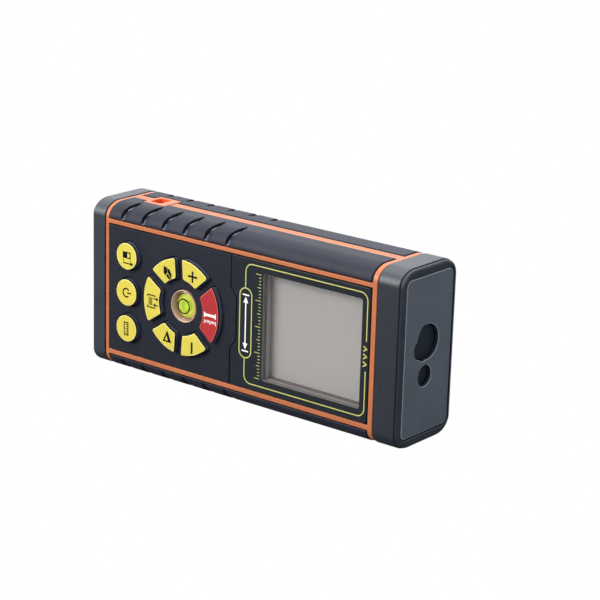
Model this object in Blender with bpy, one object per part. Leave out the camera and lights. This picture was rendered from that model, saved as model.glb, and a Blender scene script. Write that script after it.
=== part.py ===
"""Hand-held laser distance meter, an assembly of separate solid pieces.

Frame: the meter stands on its long side. +X runs to the laser end (nose), the screen
and the keys face -Y (front), +Z is up. Lengths are in millimetres from the middle of
the body: y = 0 is the parting line of the two housing halves. ROOT, the empty that
carries every piece, moves them half the height of the keys along +Y, so that the
origin is the bottom centre of the whole meter.
"""

import math

import bmesh
import bpy
from mathutils import Matrix, Vector

for old in list(bpy.data.objects):
    bpy.data.objects.remove(old, do_unlink=True)

MILLIMETRE = 0.001


def about(centre, half):
    """The range that reaches half to each side of a centre."""
    return centre - half, centre + half


def widen(limits, by):
    """A range moved outwards at both ends, or inwards if by is negative."""
    return limits[0] - by, limits[1] + by


# ---------------------------------------------------------------- shared sizes
LENGTH = 112.0
WIDTH = 50.0
THICKNESS = 25.0
TAIL_X, NOSE_X = about(0.0, LENGTH / 2)
FRONT_Y, BACK_Y = about(0.0, THICKNESS / 2)
MID_Z = WIDTH / 2
CORNER_Y = 6.0  # body corner, measured across the thickness
CORNER_Z = 4.5  # body corner, measured across the width
CORNER_STEPS = 5
SHARP_ANGLE = 32.0  # degrees; flatter edges are shaded smooth

GAP = 0.3  # between separate pieces
OUT = 60.0  # past every face of the meter, for cutters
ALL = (-OUT, OUT)

# frame bands in x, front and back strips in z
TAIL_BAND = (-50.7, -49.5)
NOSE_BAND = (46.1, 47.7)
STRIP_LOW = (4.3, 5.7)
STRIP_HIGH = (44.05, 45.3)
SIDE_STRIP = 1.6  # half width of the strip on each narrow side
PAD_THICK = 0.95
WALL_INSET = 2.65  # inside face of the housing, from the outline

# room between bands and strips, for the pieces on the wide faces
PANEL_THICK = 1.2
LEDGE_Y = FRONT_Y + PANEL_THICK + GAP
PANEL_X = widen((TAIL_BAND[1], NOSE_BAND[0]), -GAP)
PANEL_Z = widen((STRIP_LOW[1], STRIP_HIGH[0]), -GAP)
PANEL_CORNER = 0.8

# strap eyelet
EYELET_X = (-43.9, -35.7)
EYELET_HALF = 3.75
EYELET_NOTCH_Z = 45.3

# keypad
KEY_PROUD = 1.5
RING_X, RING_Z = RING_CENTRE = (-19.8, MID_Z)
LEVEL_R = 4.8

# circuit board
BOARD_Y = (-7.2, -6.2)
BOARD_Z = about(MID_Z, 13.7)

# optics, centres as (y, z)
RECEIVER = (0.6, 28.7)
LASER_Y, LASER_Z = LASER = (-0.35, 19.0)

# cells and battery door
CELL_Y = 5.4
CELL_LOW, CELL_HIGH = about(MID_Z, 5.6)
DOOR_X = (-47.0, 4.8)
DOOR_Z = about(MID_Z, 11.9)
DOOR_OPEN_X = (DOOR_X[0] - GAP, DOOR_X[1] + 0.5)
DOOR_OPEN_Z = widen(DOOR_Z, GAP)
HINGE_X, HINGE_Y = HINGE = (4.1, 11.7)

# screws, centres as (x, z)
TAIL_SCREW_X, NOSE_SCREW_X = -33.0, 40.0
CASE_SCREWS = [(x, z) for x in (TAIL_SCREW_X, NOSE_SCREW_X) for z in about(MID_Z, 16.4)]
BRACKET_SCREWS = [(20.0, z) for z in about(MID_Z, 10.5)]
SCREW_HEAD_HOLE_R = 2.2


# ---------------------------------------------------------------- materials
def paint(name, color, roughness, metallic=0.0, alpha=1.0):
    """A Principled material."""
    material = bpy.data.materials.new(name)
    material.use_nodes = True
    inputs = material.node_tree.nodes["Principled BSDF"].inputs
    inputs["Base Color"].default_value = (*color, 1.0)
    inputs["Roughness"].default_value = roughness
    inputs["Metallic"].default_value = metallic
    inputs["Alpha"].default_value = alpha
    return material


ORANGE = paint("frame_orange", color=(0.72, 0.17, 0.05), roughness=0.5)
NAVY = paint("case_navy", color=(0.03, 0.033, 0.05), roughness=0.45)
RUBBER = paint("grip_rubber", color=(0.028, 0.031, 0.047), roughness=0.7)
PANEL = paint("keypad_matt", color=(0.02, 0.022, 0.03), roughness=0.5)
GLOSS = paint("bezel_gloss", color=(0.012, 0.013, 0.016), roughness=0.15)
PLATE = paint("nose_plate_grey", color=(0.06, 0.07, 0.085), roughness=0.5)
YELLOW = paint("key_yellow", color=(0.78, 0.68, 0.08), roughness=0.4)
RED = paint("key_red", color=(0.6, 0.04, 0.045), roughness=0.4)
CLEAR = paint("clear_plastic", color=(0.9, 0.92, 0.92), roughness=0.05, alpha=0.3)
LCD = paint("lcd_grey", color=(0.38, 0.37, 0.35), roughness=0.2)
HOLDER = paint("holder_grey", color=(0.42, 0.40, 0.38), roughness=0.5)
GREEN = paint("level_green", color=(0.6, 0.72, 0.08), roughness=0.2)
BUBBLE = paint("bubble_green", color=(0.7, 0.85, 0.25), roughness=0.1)
BROWN = paint("level_amber", color=(0.45, 0.36, 0.27), roughness=0.2)
BOARD = paint("board_green", color=(0.03, 0.16, 0.07), roughness=0.5)
FILM = paint("dome_film", color=(0.7, 0.7, 0.66), roughness=0.4)
ZINC = paint("zinc_casting", color=(0.4, 0.4, 0.41), roughness=0.45, metallic=1.0)
BRASS = paint("barrel_brass", color=(0.7, 0.5, 0.22), roughness=0.35, metallic=1.0)
STEEL = paint("plated_steel", color=(0.6, 0.6, 0.61), roughness=0.3, metallic=1.0)
GLASS = paint("lens_glass", color=(0.85, 0.9, 0.95), roughness=0.02, alpha=0.3)
DARK_GLASS = paint("window_dark", color=(0.03, 0.01, 0.015), roughness=0.05)
BLACK = paint("part_black", color=(0.02, 0.02, 0.02), roughness=0.5)
CELL = paint("cell_sleeve", color=(0.05, 0.07, 0.16), roughness=0.35)
FLEX = paint("flex_amber", color=(0.5, 0.25, 0.05), roughness=0.4)

ROOT = bpy.data.objects.new("laser_meter", None)
bpy.context.scene.collection.objects.link(ROOT)
ROOT.location = (0.0, KEY_PROUD / 2 * MILLIMETRE, 0.0)


# ---------------------------------------------------------------- solids
def solid(name, verts, faces):
    """A closed mesh from points in millimetres, its faces turned outwards."""
    mesh = bpy.data.meshes.new(name)
    mesh.from_pydata([Vector(vert) * MILLIMETRE for vert in verts], [], faces)
    edit = bmesh.new()
    edit.from_mesh(mesh)
    bmesh.ops.recalc_face_normals(edit, faces=edit.faces)
    if edit.calc_volume(signed=True) < 0:
        bmesh.ops.reverse_faces(edit, faces=edit.faces)
    edit.to_mesh(mesh)
    edit.free()
    obj = bpy.data.objects.new(name, mesh)
    bpy.context.scene.collection.objects.link(obj)
    return obj


def loft(name, rings):
    """Skins equal rings of points one after another and closes both ends."""
    count = len(rings[0])
    verts = [point for ring in rings for point in ring]
    faces = []
    for k in range(len(rings) - 1):
        here, there = k * count, (k + 1) * count
        for i in range(count):
            j = (i + 1) % count
            faces.append((here + i, here + j, there + j, there + i))
    faces.append(tuple(range(count)))
    faces.append(tuple((len(rings) - 1) * count + i for i in reversed(range(count))))
    return solid(name, verts, faces)


def loft_x(name, stations):
    """Skins stations of (x, outline of (y, z))."""
    return loft(name, [[(x, y, z) for y, z in outline] for x, outline in stations])


def loft_y(name, stations):
    """Skins stations of (y, outline of (x, z))."""
    return loft(name, [[(x, y, z) for x, z in outline] for y, outline in stations])


def prism_x(name, outline, limits):
    return loft_x(name, [(x, outline) for x in limits])


def prism_y(name, outline, limits):
    return loft_y(name, [(y, outline) for y in limits])


def box(name, x, y, z):
    """A block between three ranges."""
    return prism_y(name, [(x[0], z[0]), (x[1], z[0]), (x[1], z[1]), (x[0], z[1])], y)


def turned(name, profile, axis, centre, steps):
    """Turns (radius, position) pairs, from the axis back to the axis, about X, Y or Z."""

    def place(radius, along, angle):
        across = centre[0] + radius * math.cos(angle)
        up = centre[1] + radius * math.sin(angle)
        return {"X": (along, across, up), "Y": (across, along, up), "Z": (across, up, along)}[axis]

    angles = [2 * math.pi * i / steps for i in range(steps)]
    verts = [place(0.0, profile[0][1], 0.0)]
    for radius, along in profile[1:-1]:
        verts += [place(radius, along, angle) for angle in angles]
    verts.append(place(0.0, profile[-1][1], 0.0))
    faces = [(0, 1 + (i + 1) % steps, 1 + i) for i in range(steps)]
    for k in range(len(profile) - 3):
        here, there = 1 + k * steps, 1 + (k + 1) * steps
        for i in range(steps):
            j = (i + 1) % steps
            faces.append((here + i, here + j, there + j, there + i))
    tip, base = len(verts) - 1, 1 + (len(profile) - 3) * steps
    faces += [(base + i, base + (i + 1) % steps, tip) for i in range(steps)]
    return solid(name, verts, faces)


def rod(name, radius, limits, axis, centre, steps):
    """A plain cylinder."""
    start, end = limits
    profile = [(0, start), (radius, start), (radius, end), (0, end)]
    return turned(name, profile, axis, centre, steps)


def closed(mesh):
    edit = bmesh.new()
    edit.from_mesh(mesh)
    whole = all(edge.is_manifold for edge in edit.edges)
    edit.free()
    return whole


def combine(obj, others, operation):
    """Applies a Boolean of each other object to obj, and removes the others."""
    for other in others:
        other.hide_render = True
        # the second solver is only used where the first leaves the mesh open
        for solver in ("EXACT", "MANIFOLD"):
            modifier = obj.modifiers.new("bool", "BOOLEAN")
            modifier.operation = operation
            modifier.solver = solver
            modifier.object = other
            graph = bpy.context.evaluated_depsgraph_get()
            graph.update()
            mesh = bpy.data.meshes.new_from_object(obj.evaluated_get(graph))
            obj.modifiers.clear()
            if closed(mesh):
                break
        obj.data = mesh
        bpy.data.objects.remove(other, do_unlink=True)
    return obj


def cut(obj, *others):
    return combine(obj, others, "DIFFERENCE")


def join(obj, *others):
    return combine(obj, others, "UNION")


def finish(obj, material, origin=(0.0, 0.0, 0.0)):
    """Gives a piece its material, its origin and its parent."""
    obj.data.materials.clear()
    obj.data.materials.append(material)
    point = Vector(origin) * MILLIMETRE
    obj.data.transform(Matrix.Translation(-point))
    obj.location = point
    obj.parent = ROOT
    obj.data.shade_smooth()
    obj.data.set_sharp_from_angle(angle=math.radians(SHARP_ANGLE))


# ---------------------------------------------------------------- outlines
def rounded(across, up, radii, steps=CORNER_STEPS):
    """A rectangle between two ranges; radii are those of its corners across and up."""
    low_across, high_across = widen(across, -radii[0])
    low_up, high_up = widen(up, -radii[1])
    centres = (
        (high_across, high_up),
        (low_across, high_up),
        (low_across, low_up),
        (high_across, low_up),
    )
    points = []
    for k, centre in enumerate(centres):
        for i in range(steps + 1):
            angle = math.pi / 2 * (k + i / steps)
            points.append(
                (centre[0] + radii[0] * math.cos(angle), centre[1] + radii[1] * math.sin(angle))
            )
    return points


def section(inset=0.0):
    """The body's cross-section as (y, z), pulled in by inset."""
    return rounded(
        widen((FRONT_Y, BACK_Y), -inset),
        widen((0.0, WIDTH), -inset),
        (CORNER_Y - inset, CORNER_Z - inset),
    )


def circle(centre, radius, steps):
    angles = [2 * math.pi * i / steps for i in range(steps)]
    return [
        (centre[0] + radius * math.cos(angle), centre[1] + radius * math.sin(angle))
        for angle in angles
    ]


# ---------------------------------------------------------------- housings
FRAME_X = (TAIL_BAND[0], NOSE_BAND[1])
FRAME_SINK = 0.2  # bands and strips below the outline
STRIP_ROOT = 0.5  # strips stop short of the frame's ends
FACE_STRIP_DEPTH = 3.5  # inner side of the strips, below the outline
SIDE_STRIP_DEPTH = 2.5
TONGUE_THICK = 0.7
TONGUE_END = 1.0  # from the frame's ends
TONGUE_Y = (-1.8, 0.85)
TONGUE_OVERLAP = 0.05  # into the wall's inside face
RABBET_Y = (-1.0, TONGUE_Y[1] + GAP)

KEY_OPENING_X = (-46.5, 44.9)
KEY_OPENING_HALF = 16.8
FRONT_BOSS_R = 2.2
FRONT_BOSS_END_Y = -0.6
# screw x: front ends of the boss and of its rib, in y
FRONT_BOSSES = {TAIL_SCREW_X: (-10.6, -8.5), NOSE_SCREW_X: (-5.9, -5.5)}
RIB_HALF = 0.6
RIB_END_Y = -1.5
RIB_ROOT = 1.9  # from the meter's narrow sides
CASE_PILOT_R = 1.3
CASE_PILOT_Y = (-5.2, 2.0)

BAY_X = (-47.7, 2.2)
BAY_Z = about(MID_Z, 11.2)
BAY_FLOOR_Y = -0.15
BAY_BLOCK_X = (-48.8, BAY_X[1] + 1.0)
BAY_BLOCK_Y = (BAY_FLOOR_Y - 1.0, 10.9)
BAY_BLOCK_Z = widen(BAY_Z, 1.5)
DOOR_SEAT_Y = 10.7
DOOR_END_X = BAY_X[1] + 2.0  # deeper room at the hinge end of the door
DOOR_END_Y = 9.0
REAR_BOSS_R, REAR_BOSS_Y = 3.0, (0.3, 10.6)
HEAD_SEAT_Y = 9.0
POST_R, POST_Y = 2.3, (1.7, 10.4)
POST_PILOT_R, POST_PILOT_Y = 1.1, (1.0, 9.4)


def rim(insets, x, y):
    """A band along the body's outline between two insets, within ranges of x and y."""
    return cut(
        prism_x("rim", section(insets[0]), x),
        prism_x("inside", section(insets[1]), ALL),
        box("below", ALL, (-OUT, y[0]), ALL),
        box("above", ALL, (y[1], OUT), ALL),
    )


def eyelet_notch():
    """Cutter for the room of the strap eyelet."""
    y = about(0.0, EYELET_HALF + GAP)
    return box("eyelet_notch", widen(EYELET_X, GAP), y, (EYELET_NOTCH_Z, OUT))


def frame_half(name, side):
    """One orange housing half; side is -1 for the front, +1 for the back."""
    body = prism_x(name, section(PAD_THICK + GAP), FRAME_X)
    run = widen(FRAME_X, -STRIP_ROOT)
    if side < 0:
        face = (FRONT_Y + FRAME_SINK, FRONT_Y + FACE_STRIP_DEPTH)
        away = (-GAP / 2, OUT)
        recess = (-OUT, LEDGE_Y)
    else:
        face = (BACK_Y - FACE_STRIP_DEPTH, BACK_Y - FRAME_SINK)
        away = (-OUT, GAP / 2)
        recess = (-LEDGE_Y, OUT)
    side_y = about(0.0, SIDE_STRIP)
    join(
        body,
        prism_x("band", section(FRAME_SINK), TAIL_BAND),
        prism_x("band", section(FRAME_SINK), NOSE_BAND),
        box("strip", run, face, STRIP_LOW),
        box("strip", run, face, STRIP_HIGH),
        box("strip", run, side_y, (FRAME_SINK, SIDE_STRIP_DEPTH)),
        box("strip", run, side_y, (WIDTH - SIDE_STRIP_DEPTH, WIDTH - FRAME_SINK)),
    )
    recess_x = (TAIL_BAND[1], NOSE_BAND[0])
    cut(
        body,
        prism_x("cavity", section(WALL_INSET), ALL),
        box("other_half", ALL, away, ALL),
        box("panel_recess", recess_x, recess, (STRIP_LOW[1], STRIP_HIGH[0])),
    )
    # the front half's tongue closes the parting line from inside, in a rabbet of the rear half
    tongue_inset = WALL_INSET - TONGUE_THICK
    if side < 0:
        insets = (tongue_inset, WALL_INSET - TONGUE_OVERLAP)
        join(body, rim(insets, widen(FRAME_X, -TONGUE_END), TONGUE_Y))
    else:
        insets = widen((tongue_inset, WALL_INSET), GAP)
        cut(body, rim(insets, widen(FRAME_X, GAP - TONGUE_END), RABBET_Y))
    return cut(body, eyelet_notch())


def front_housing():
    front = frame_half("front_housing", -1)
    opening_z = about(MID_Z, KEY_OPENING_HALF)
    cut(front, box("key_opening", KEY_OPENING_X, (-OUT, -8.0), opening_z))
    for x, z in CASE_SCREWS:
        boss_y, rib_y = FRONT_BOSSES[x]
        rib_z = (RIB_ROOT, z) if z < MID_Z else (z, WIDTH - RIB_ROOT)
        join(
            front,
            rod("boss", FRONT_BOSS_R, (boss_y, FRONT_BOSS_END_Y), "Y", (x, z), 12),
            box("rib", about(x, RIB_HALF), (rib_y, RIB_END_Y), rib_z),
        )
    for at in CASE_SCREWS:
        cut(front, rod("pilot", CASE_PILOT_R, CASE_PILOT_Y, "Y", at, 12))
    finish(front, ORANGE)


def rear_housing():
    """The back half, with the battery bay."""
    rear = frame_half("rear_housing", 1)
    join(rear, box("bay", BAY_BLOCK_X, BAY_BLOCK_Y, BAY_BLOCK_Z))
    for at in CASE_SCREWS:
        join(rear, rod("boss", REAR_BOSS_R, REAR_BOSS_Y, "Y", at, 12))
    for at in BRACKET_SCREWS:
        join(rear, rod("post", POST_R, POST_Y, "Y", at, 12))
    cut(
        rear,
        box("bay_room", BAY_X, (BAY_FLOOR_Y, OUT), BAY_Z),
        box("door_way", DOOR_OPEN_X, (DOOR_SEAT_Y, OUT), DOOR_OPEN_Z),
        box("door_end", (DOOR_END_X, DOOR_OPEN_X[1]), (DOOR_END_Y, OUT), DOOR_OPEN_Z),
    )
    for at in CASE_SCREWS:
        cut(
            rear,
            rod("shank_hole", CASE_PILOT_R, (-1.0, 12.0), "Y", at, 12),
            rod("head_hole", SCREW_HEAD_HOLE_R, (HEAD_SEAT_Y, 13.0), "Y", at, 16),
        )
    for at in BRACKET_SCREWS:
        cut(rear, rod("pilot", POST_PILOT_R, POST_PILOT_Y, "Y", at, 12))
    finish(rear, ORANGE)


# ---------------------------------------------------------------- end caps
LIP_INSET = WALL_INSET + GAP  # lips reach inside the housing
LIP_THICK = 1.0
CAP_LAND = 1.2  # from a cap's joint to its hollow

NOSE_JOINT = NOSE_BAND[1] + GAP
NOSE_LIP_X = (46.7, 50.0)
NOSE_THROAT_END = 50.2
NOSE_ROOM_INSET, NOSE_ROOM_END = 1.6, 52.6
NOSE_BORE_START = 50.0
RECEIVER_BORE_R, LASER_BORE_R = 5.9, 3.7
PLATE_BACK = 54.3  # bottom of the nose cap's recess for the plate
PLATE_FACE = 55.7
PLATE_Y = (-10.0, 11.2)
PLATE_Z = (2.9, 47.1)
PLATE_ROUND = 2.2

TAIL_JOINT = TAIL_BAND[0] - GAP
TAIL_LIP_X = (-52.5, -49.4)
TAIL_THROAT_END = -52.6
TAIL_ROOM_INSET, TAIL_ROOM_END = 2.2, -54.5
TAIL_ROUND = 0.8


def plate_outline(grow=0.0):
    radius = PLATE_ROUND + grow
    return rounded(widen(PLATE_Y, grow), widen(PLATE_Z, grow), (radius, radius))


def end_lip(x):
    return prism_x("lip", section(LIP_INSET), x)


def throat(x):
    return prism_x("throat", section(LIP_INSET + LIP_THICK), x)


def nose_cap():
    """The cap at the laser end: a groove round its outside and a recess in its face."""
    nose = loft_x(
        "nose_cap",
        [
            # x, outline
            (NOSE_JOINT, section()),
            (54.8, section()),
            (55.1, section(0.2)),
            (54.9, section(0.45)),
            (55.45, section(0.55)),
            (55.85, section(0.7)),
            (NOSE_X, section(0.95)),
            (NOSE_X, plate_outline(0.4)),
            (55.75, plate_outline(GAP)),
            (PLATE_BACK, plate_outline(GAP)),
        ],
    )
    join(nose, end_lip(NOSE_LIP_X))
    bore_x = (NOSE_BORE_START, OUT)
    cut(
        nose,
        throat((-OUT, NOSE_THROAT_END)),
        prism_x("room", section(NOSE_ROOM_INSET), (NOSE_JOINT + CAP_LAND, NOSE_ROOM_END)),
        rod("receiver_bore", RECEIVER_BORE_R, bore_x, "X", RECEIVER, 28),
        rod("laser_bore", LASER_BORE_R, bore_x, "X", LASER, 20),
    )
    finish(nose, NAVY)


def tail_cap():
    stations = [(TAIL_JOINT, section())]
    for degrees in (0, 30, 60, 90):
        angle = math.radians(degrees)
        x = TAIL_X + TAIL_ROUND * (1 - math.sin(angle))
        stations.append((x, section(TAIL_ROUND * (1 - math.cos(angle)))))
    tail = loft_x("tail_cap", stations)
    join(tail, end_lip(TAIL_LIP_X))
    cut(
        tail,
        throat((TAIL_THROAT_END, OUT)),
        prism_x("room", section(TAIL_ROOM_INSET), (TAIL_ROOM_END, TAIL_JOINT - CAP_LAND)),
    )
    finish(tail, NAVY)


# ---------------------------------------------------------------- grip pads
NOTCH_FIRST = -44.2
NOTCH_PITCH = 7.95
NOTCH_COUNT = 6
NOTCH_DEPTH = 0.6
NOTCH_END_Y = 5.9  # distance of the notches' ends from the parting line
# x from the notch's centre, whether at full depth
NOTCH_PROFILE = ((-0.55, False), (-0.12, True), (0.12, True), (0.7, False))


def corner_path(inset, half_sign, width_sign):
    """Points of (y, z) from a strip on a wide face round the corner to the side strip."""
    round_y, round_z = CORNER_Y - inset, CORNER_Z - inset
    centre_y, centre_z = THICKNESS / 2 - CORNER_Y, WIDTH / 2 - CORNER_Z
    strip_edge = STRIP_HIGH[1] - MID_Z if width_sign > 0 else MID_Z - STRIP_LOW[0]
    first = math.asin((strip_edge + GAP - centre_z) / round_z)
    path = []
    for i in range(CORNER_STEPS + 1):
        angle = first + (math.pi / 2 - first) * i / CORNER_STEPS
        path.append((centre_y + round_y * math.cos(angle), centre_z + round_z * math.sin(angle)))
    path.append((NOTCH_END_Y, WIDTH / 2 - inset))
    path.append((SIDE_STRIP + GAP, WIDTH / 2 - inset))
    return [(half_sign * y, MID_Z + width_sign * z) for y, z in path]


def grip_pad(name, half_sign, width_sign):
    """The rubber round one long corner of the body, with notches across it."""
    stations = [(PANEL_X[0], False)]
    for k in range(NOTCH_COUNT):
        centre = NOTCH_FIRST + k * NOTCH_PITCH
        stations += [(centre + offset, is_deep) for offset, is_deep in NOTCH_PROFILE]
    stations.append((PANEL_X[1], False))
    plain = corner_path(0.0, half_sign, width_sign)
    # beyond NOTCH_END_Y the flat side keeps its full height
    deep = corner_path(NOTCH_DEPTH, half_sign, width_sign)[:-2] + plain[-2:]
    inner = corner_path(PAD_THICK, half_sign, width_sign)[::-1]
    pad = loft_x(name, [(x, (deep if is_deep else plain) + inner) for x, is_deep in stations])
    if width_sign > 0:
        cut(pad, eyelet_notch())
    finish(pad, RUBBER)


def strap_eyelet():
    """A block with a recess from above and a bar across it."""
    z = (EYELET_NOTCH_Z + GAP, WIDTH)
    eyelet = box("strap_eyelet", EYELET_X, about(0.0, EYELET_HALF), z)
    cut(eyelet, box("recess", (-42.3, -38.6), (-2.1, 2.3), (46.4, OUT)))
    join(eyelet, rod("bar", 0.55, (-2.6, 2.8), "Y", (-40.45, 48.0), 12))
    finish(eyelet, ORANGE)


# ---------------------------------------------------------------- keypad
RING_OUT, RING_IN = 14.3, 8.2
RING_HALF_GAP = 1.25  # half of the parallel gap between two keys
KEY_ROUND = 0.8
# directions of the gaps on both sides of each ring key, in degrees from +X towards +Z
RING_KEYS = {
    "key_measure": (-41.0, 41.0),
    "key_plus": (41.0, 94.3),
    "key_area": (94.3, 146.0),
    "key_memory": (146.0, 214.0),
    "key_indirect": (214.0, 265.7),
    "key_minus": (265.7, 319.0),
}
ROUND_KEY_X, ROUND_KEY_R = -40.9, 4.05
ROUND_KEYS = {"key_reference": 10.9, "key_clear": 0.0, "key_unit": -10.9}  # z from the middle
KEYS = (*RING_KEYS, *ROUND_KEYS)
KEY_TOP_Y = FRONT_Y - KEY_PROUD
KEY_BEVEL = 0.3
FLANGE_OUT = 0.8
FLANGE_Y = (LEDGE_Y, LEDGE_Y + 0.8)
PLUNGER_R = 1.5
PLUNGER_Y = (FLANGE_Y[1] - 0.4, -8.5)
DOME_R = 2.1

# The seam between keypad panel and display bezel bulges to +X in the middle.
SEAM_X, SEAM_BULGE = -2.65, 2.2
BULGE_Z = (16.0, 35.0)
BULGE_RAMP = 4.0
SEAM_Z = (
    PANEL_Z[0], 16.0, 17.2, 18.0, 18.8, 20.0,
    31.0, 32.2, 33.0, 33.8, 35.0, PANEL_Z[1],
)


def ring_key(low, high, grow):
    """A key of the ring between two gap directions, its sides parallel to the gaps."""
    outer, inner = RING_OUT + grow, RING_IN - grow
    half_gap = RING_HALF_GAP - grow
    turn = KEY_ROUND + grow

    def at(radius, angle):
        return Vector((RING_X + radius * math.cos(angle), RING_Z + radius * math.sin(angle)))

    def low_angle(radius):
        return math.radians(low) + math.asin(half_gap / radius)

    def high_angle(radius):
        return math.radians(high) - math.asin(half_gap / radius)

    def low_side(radius):
        return at(radius, low_angle(radius))

    def high_side(radius):
        return at(radius, high_angle(radius))

    def corner(before, tip, after):
        return [before, 0.25 * before + 0.5 * tip + 0.25 * after, after]

    outer_low, outer_high = low_angle(outer) + turn / outer, high_angle(outer) - turn / outer
    inner_low, inner_high = low_angle(inner) + turn / inner, high_angle(inner) - turn / inner
    points = corner(low_side(outer - turn), low_side(outer), at(outer, outer_low))
    points += [at(outer, outer_low + (outer_high - outer_low) * i / 5) for i in range(1, 5)]
    points += corner(at(outer, outer_high), high_side(outer), high_side(outer - turn))
    points += corner(high_side(inner + turn), high_side(inner), at(inner, inner_high))
    points += [at(inner, inner_high + (inner_low - inner_high) * i / 3) for i in range(1, 3)]
    points += corner(at(inner, inner_low), low_side(inner), low_side(inner + turn))
    return [(point.x, point.y) for point in points]


def key_centre(name):
    if name in ROUND_KEYS:
        return ROUND_KEY_X, MID_Z + ROUND_KEYS[name]
    angle = math.radians(sum(RING_KEYS[name]) / 2)
    radius = (RING_OUT + RING_IN) / 2
    return RING_X + radius * math.cos(angle), RING_Z + radius * math.sin(angle)


def key_outline(name, grow):
    if name in ROUND_KEYS:
        return circle(key_centre(name), ROUND_KEY_R + grow, 20)
    return ring_key(*RING_KEYS[name], grow)


def seam(z):
    """The seam's x at a height."""

    def ramp(share):
        share = min(max(share, 0.0), 1.0)
        return share * share * (3 - 2 * share)

    rise = ramp((z - BULGE_Z[0]) / BULGE_RAMP)
    return SEAM_X + SEAM_BULGE * rise * ramp((BULGE_Z[1] - z) / BULGE_RAMP)


def keypad_panel():
    x, (low, high) = PANEL_X[0], PANEL_Z
    outline = [(x, high - PANEL_CORNER), (x, low + PANEL_CORNER), (x + PANEL_CORNER, low)]
    outline += [(seam(z), z) for z in SEAM_Z]
    outline.append((x + PANEL_CORNER, high))
    panel = prism_y("keypad_panel", outline, (FRONT_Y, FRONT_Y + PANEL_THICK))
    for key in KEYS:
        cut(panel, prism_y("key_hole", key_outline(key, GAP), ALL))
    cut(panel, prism_y("level_hole", circle(RING_CENTRE, LEVEL_R + GAP, 28), ALL))
    finish(panel, PANEL)


def key_cap(name):
    """A bevelled key with a flange behind the panel and a plunger."""
    x, z = key_centre(name)
    levels = (
        # y, growth of the outline
        (KEY_TOP_Y, -KEY_BEVEL),
        (KEY_TOP_Y + KEY_BEVEL, 0.0),
        (FLANGE_Y[0], 0.0),
        (FLANGE_Y[0], FLANGE_OUT),
        (FLANGE_Y[1], FLANGE_OUT),
    )
    cap = loft_y(name, [(y, key_outline(name, grow)) for y, grow in levels])
    join(cap, rod("plunger", PLUNGER_R, PLUNGER_Y, "Y", (x, z), 12))
    finish(cap, RED if name == "key_measure" else YELLOW, (x, KEY_TOP_Y, z))


def dome_sheet():
    """The film behind the keys, with a low disc under each plunger."""
    sheet = box("dome_sheet", (-45.6, -3.4), (-7.7, -7.5), BOARD_Z)
    for key in KEYS:
        join(sheet, rod("dome", DOME_R, (-7.95, -7.6), "Y", key_centre(key), 12))
    finish(sheet, FILM)


# ---------------------------------------------------------------- level
LEVEL_EYE_R = 4.35
VIAL_CHAMBER_R, VIAL_CHAMBER_Y = 3.5, -11.6
BUBBLE_Y = (-11.3, -10.9)
# radius, y
LEVEL_BEZEL_PROFILE = (
    (0, -12.8), (4.6, -12.8), (LEVEL_R, -12.6), (LEVEL_R, LEDGE_Y),
    (5.6, LEDGE_Y), (5.6, -10.3), (0, -10.3),
)
VIAL_PROFILE = ((0, -12.55), (3.2, -12.5), (4.05, -12.2), (4.05, -9.9), (0, -9.9))


def level():
    """The round level in the middle of the key ring."""
    bezel = turned("level_bezel", LEVEL_BEZEL_PROFILE, "Y", RING_CENTRE, 24)
    finish(cut(bezel, rod("eye", LEVEL_EYE_R, ALL, "Y", RING_CENTRE, 24)), BROWN)
    vial = turned("level_vial", VIAL_PROFILE, "Y", RING_CENTRE, 24)
    chamber = rod("chamber", VIAL_CHAMBER_R, (VIAL_CHAMBER_Y, OUT), "Y", RING_CENTRE, 24)
    finish(cut(vial, chamber), CLEAR)
    bubble = rod("level_bubble", 1.9, BUBBLE_Y, "Y", RING_CENTRE, 20)
    finish(bubble, BUBBLE, (RING_X, sum(BUBBLE_Y) / 2, RING_Z))
    finish(rod("level_liquid", 3.2, (-10.6, -9.6), "Y", RING_CENTRE, 24), GREEN)
    finish(rod("level_seat", 5.4, (-9.3, -8.5), "Y", RING_CENTRE, 24), BLACK)


# ---------------------------------------------------------------- display and board
WINDOW_X = (9.5, 43.1)
WINDOW_Z = (9.9, 40.3)
WINDOW_ROUND = 0.6
LCD_Y = (-8.5, -7.5)
LCD_X = (9.1, 43.5)
LCD_Z = (9.6, 40.4)
CHIP_SINK = 0.2  # chips start inside the board
# name, x range, y of the top, z range
CHIPS = (
    ("processor", (28.5, 36.5), -6.05, (12.0, 14.0)),
    ("controller", (-6.0, 2.0), -5.1, (15.0, 23.0)),
    ("memory_chip", (-3.0, 2.0), -5.3, (29.0, 34.0)),
    ("regulator", (-40.0, -36.5), -5.2, (30.0, 33.5)),
)
# radius, y
BUZZER_PROFILE = ((0, -5.9), (4.6, -5.9), (4.6, -3.4), (1.0, -3.4), (1.0, -3.8), (0, -3.8))


def display_bezel():
    x, (low, high) = PANEL_X[1], PANEL_Z
    outline = [(seam(z) + GAP, z) for z in reversed(SEAM_Z)]
    outline += [(x - PANEL_CORNER, low), (x, low + PANEL_CORNER)]
    outline += [(x, high - PANEL_CORNER), (x - PANEL_CORNER, high)]
    bezel = prism_y("display_bezel", outline, (FRONT_Y, FRONT_Y + PANEL_THICK))
    radius = WINDOW_ROUND + GAP
    hole = rounded(widen(WINDOW_X, GAP), widen(WINDOW_Z, GAP), (radius, radius), 3)
    finish(cut(bezel, prism_y("window_hole", hole, ALL)), GLOSS)


def display_window():
    pane = rounded(WINDOW_X, WINDOW_Z, (WINDOW_ROUND, WINDOW_ROUND), 3)
    finish(prism_y("display_window", pane, (FRONT_Y + 0.1, FRONT_Y + PANEL_THICK)), CLEAR)


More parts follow.
